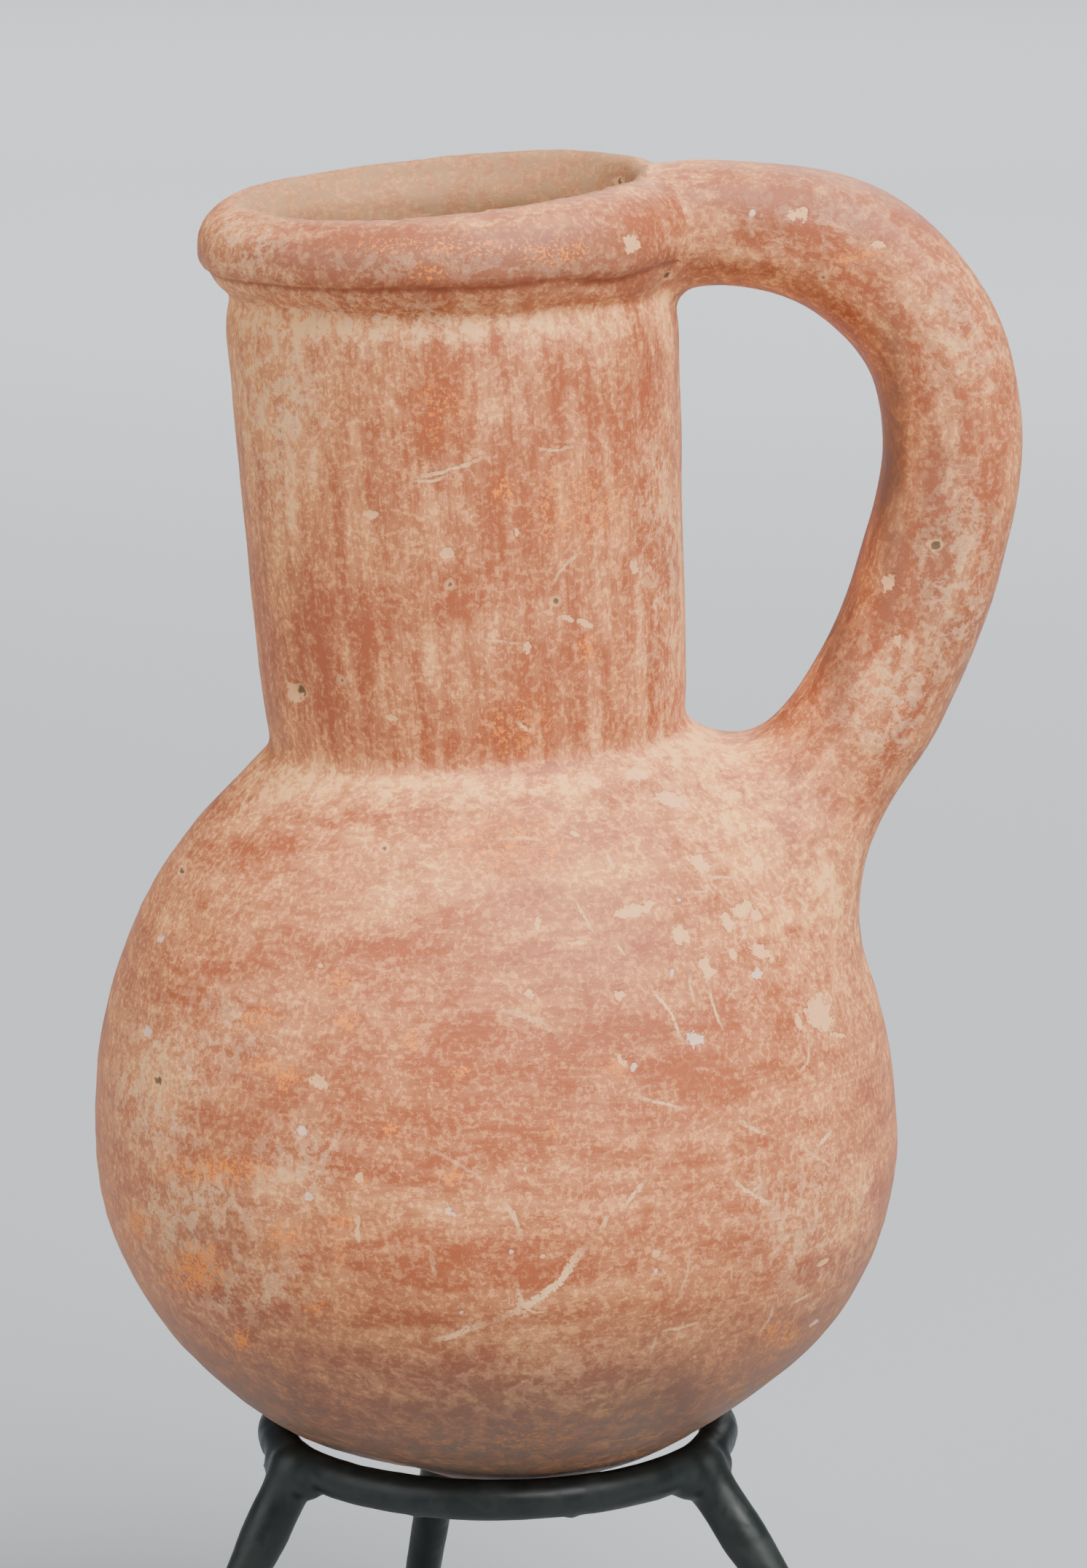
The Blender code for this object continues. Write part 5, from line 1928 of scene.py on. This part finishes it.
def tripod_mesh(sizes):
    """Ring, legs and weld beads run together under a thick coating, and cut level at the feet."""
    pieces = [ring_mesh(sizes)]
    centre = Vector((0, 0, sizes.ring_height))
    for direction, splay in LEGS:
        outward = Vector((cos(direction), sin(direction), 0))
        down = outward * sin(splay) - Vector((0, 0, cos(splay)))
        top = outward * sizes.ring_radius + centre
        length = sizes.ring_height / cos(splay) + 4 * sizes.rod_radius
        collar = COLLAR_SHARE * sizes.rod_radius
        pieces.append(rod("leg", top, top + down * length, collar, sizes.rod_radius))
        bead = top + down * (sizes.weld_radius - sizes.rod_radius)
        pieces.append(ball("weld", bead, sizes.weld_radius))
        for side in (-1, 1):
            beside = direction + side * FILLET_BESIDE / sizes.ring_radius
            foot = Vector((cos(beside), sin(beside), 0)) * sizes.ring_radius + centre
            pieces.append(ball("fillet", foot + down * FILLET_DROP, FILLET_RADIUS))
    for angle, reach, radius in DRIPS:
        outward = Vector((cos(angle), sin(angle), 0))
        middle = outward * sizes.ring_radius + centre - Vector((0, 0, reach))
        pieces.append(ball("drip", middle, radius))
    mesh = remeshed("tripod_stand", joined_mesh("wire", pieces), sizes.grain)
    edges = mesh_edges(mesh)
    points = mesh_points(mesh)
    points = relaxed(points, edges, np.ones(len(points)), rounds=4, keep_size=True)
    weights = np.zeros(len(points))
    for direction, _ in LEGS:
        outward = np.array((cos(direction), sin(direction), 0))
        joint = outward * sizes.ring_radius + np.array((0, 0, sizes.ring_height - 3 * MM))
        away = np.linalg.norm(points - joint, axis=1)
        weights = np.maximum(weights, 1 - fade(away, 3.0 * MM, 8.0 * MM))
    points = relaxed(points, edges, weights, rounds=26)
    swell = 0.04 * MM * waves(points, 8 * MM, 21) + 0.02 * MM * waves(points, 3.5 * MM, 22)
    set_points(mesh, points)
    points = points + mesh_normals(mesh) * swell[:, None]
    set_points(mesh, points)
    cut_level(mesh, 0.0)
    return mesh


class JUGLET_OT_vessel(bpy.types.Operator):
    """Build the burnished juglet with its handle"""
    bl_idname = "juglet.vessel"
    bl_label = "Juglet"

    def execute(self, context):
        sizes = context.scene.juglet_vessel
        middle = body_middle(sizes)
        mesh = shaped_juglet(sizes)
        add_surface_marks(mesh, sizes)
        mesh.shade_smooth()
        mesh.transform(Matrix.Translation(middle))
        piece = add_object("burnished_juglet", mesh)
        mesh.materials.clear()
        mesh.materials.append(clay_material(context.scene.juglet_clay, effect_groups()))
        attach(piece, "root")
        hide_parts("juglet")
        return {"FINISHED"}


class JUGLET_OT_tripod(bpy.types.Operator):
    """Build the coated wire tripod"""
    bl_idname = "juglet.tripod"
    bl_label = "Wire tripod"

    def execute(self, context):
        sizes = context.scene.juglet_tripod
        middle = body_middle(context.scene.juglet_vessel)
        mesh = tripod_mesh(sizes)
        mesh.shade_smooth()
        mesh.transform(Matrix.Translation((middle.x, middle.y, 0)))
        piece = add_object("coated_wire_tripod", mesh)
        mesh.materials.clear()
        mesh.materials.append(coating_material(sizes, effect_groups()))
        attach(piece, "root")
        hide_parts("tripod_stand")
        return {"FINISHED"}


# Side of the floor in metres
FLOOR_SIZE = 30

# Soft lights that face the juglet's middle: name, place from there, and the setting of the power
SOFT_LIGHTS = (
    ("main light", (0.60, -0.74, 1.30), "key_power"),
    ("fill light", (-1.05, -0.58, 0.72), "fill_power"),
    ("back light", (0.30, 1.30, 0.90), "back_power"),
)

# Lights that face straight down on the floor round the object: name, place, side and spread in
# degrees
FLOOR_LIGHT_HEIGHT = 1.6
FLOOR_LIGHTS = (
    ("floor light", (0, 2.9), 3.6, 100),
    ("floor light front", (0, -3.1), 2.6, 80),
    ("floor light left", (-3.1, 0), 2.6, 80),
    ("floor light right", (3.1, 0), 2.6, 80),
)


def add_light(name, middle, place, target, power, size, spread):
    """Add a square light at a place from the juglet's middle, facing a target from there."""
    light = bpy.data.lights.new(name, "AREA")
    light.energy = power
    light.size = size
    light.spread = radians(spread)
    obj = add_object(name, light)
    obj.location = middle + Vector(place)
    way = Vector(target) - Vector(place)
    obj.rotation_euler = way.to_track_quat("-Z", "Y").to_euler()


class JUGLET_OT_studio(bpy.types.Operator):
    """Set up the plain floor, the soft lights and the camera"""
    bl_idname = "juglet.studio"
    bl_label = "Studio"

    def execute(self, context):
        scene = context.scene
        settings = scene.juglet_studio
        middle = body_middle(scene.juglet_vessel)
        bpy.ops.mesh.primitive_plane_add(size=FLOOR_SIZE, location=(0, 0, 0))
        floor = context.object
        floor.name = "studio_floor"
        floor.data.materials.append(plain_material("plain floor", settings.floor_colour, 0.9))
        world = bpy.data.worlds.new("soft surroundings")
        world.use_nodes = True
        background = world.node_tree.nodes["Background"]
        background.inputs["Color"].default_value = rgba(settings.sky_colour)
        background.inputs["Strength"].default_value = settings.sky_strength
        scene.world = world
        for name, place, power in SOFT_LIGHTS:
            power = getattr(settings, power)
            add_light(name, middle, place, (0, 0, 0), power, settings.key_size, 180)
        for name, (x, y), size, spread in FLOOR_LIGHTS:
            place = (x, y, FLOOR_LIGHT_HEIGHT)
            add_light(name, middle, place, (x, y, 0), settings.floor_power, size, spread)
        camera = bpy.data.cameras.new("camera")
        camera.sensor_fit = "VERTICAL"
        camera.sensor_height = SENSOR_HEIGHT
        camera.lens = FOCAL_PIXELS / FRAME_HEIGHT * SENSOR_HEIGHT
        camera.clip_start = 0.01
        camera.clip_end = 100
        view = add_object("camera", camera)
        view.location = middle + Vector(CAMERA_FROM_BODY)
        view.rotation_euler = (pi / 2 - CAMERA_PITCH, 0, 0)
        scene.camera = view
        return {"FINISHED"}


class JUGLET_PT_panel(bpy.types.Panel):
    """Lists the pieces and their sizes and colours"""
    bl_idname = "JUGLET_PT_panel"
    bl_label = "Burnished juglet"
    bl_space_type = "VIEW_3D"
    bl_region_type = "UI"
    bl_category = "Juglet"

    def draw(self, context):
        for operator, groups in PIECES:
            box = self.layout.box()
            box.operator(operator.bl_idname)
            for group in groups:
                settings = getattr(context.scene, group)
                for name in settings.__annotations__:
                    box.prop(settings, name)


PIECES = (
    (JUGLET_OT_studio, ("juglet_studio",)),
    (JUGLET_OT_vessel, ("juglet_vessel", "juglet_clay")),
    (JUGLET_OT_tripod, ("juglet_tripod",)),
)
SETTINGS = {
    "juglet_vessel": VesselSizes,
    "juglet_clay": ClayColours,
    "juglet_tripod": TripodSizes,
    "juglet_studio": StudioSettings,
}


def register():
    for name, group in SETTINGS.items():
        bpy.utils.register_class(group)
        setattr(bpy.types.Scene, name, PointerProperty(type=group))
    for operator, _ in PIECES:
        bpy.utils.register_class(operator)
    bpy.utils.register_class(JUGLET_PT_panel)


def unregister():
    bpy.utils.unregister_class(JUGLET_PT_panel)
    for operator, _ in reversed(PIECES):
        bpy.utils.unregister_class(operator)
    for name, group in reversed(SETTINGS.items()):
        delattr(bpy.types.Scene, name)
        bpy.utils.unregister_class(group)


def main():
    register()
    bpy.ops.juglet.studio()
    bpy.ops.juglet.vessel()
    bpy.ops.juglet.tripod()


if __name__ == "__main__":
    main()
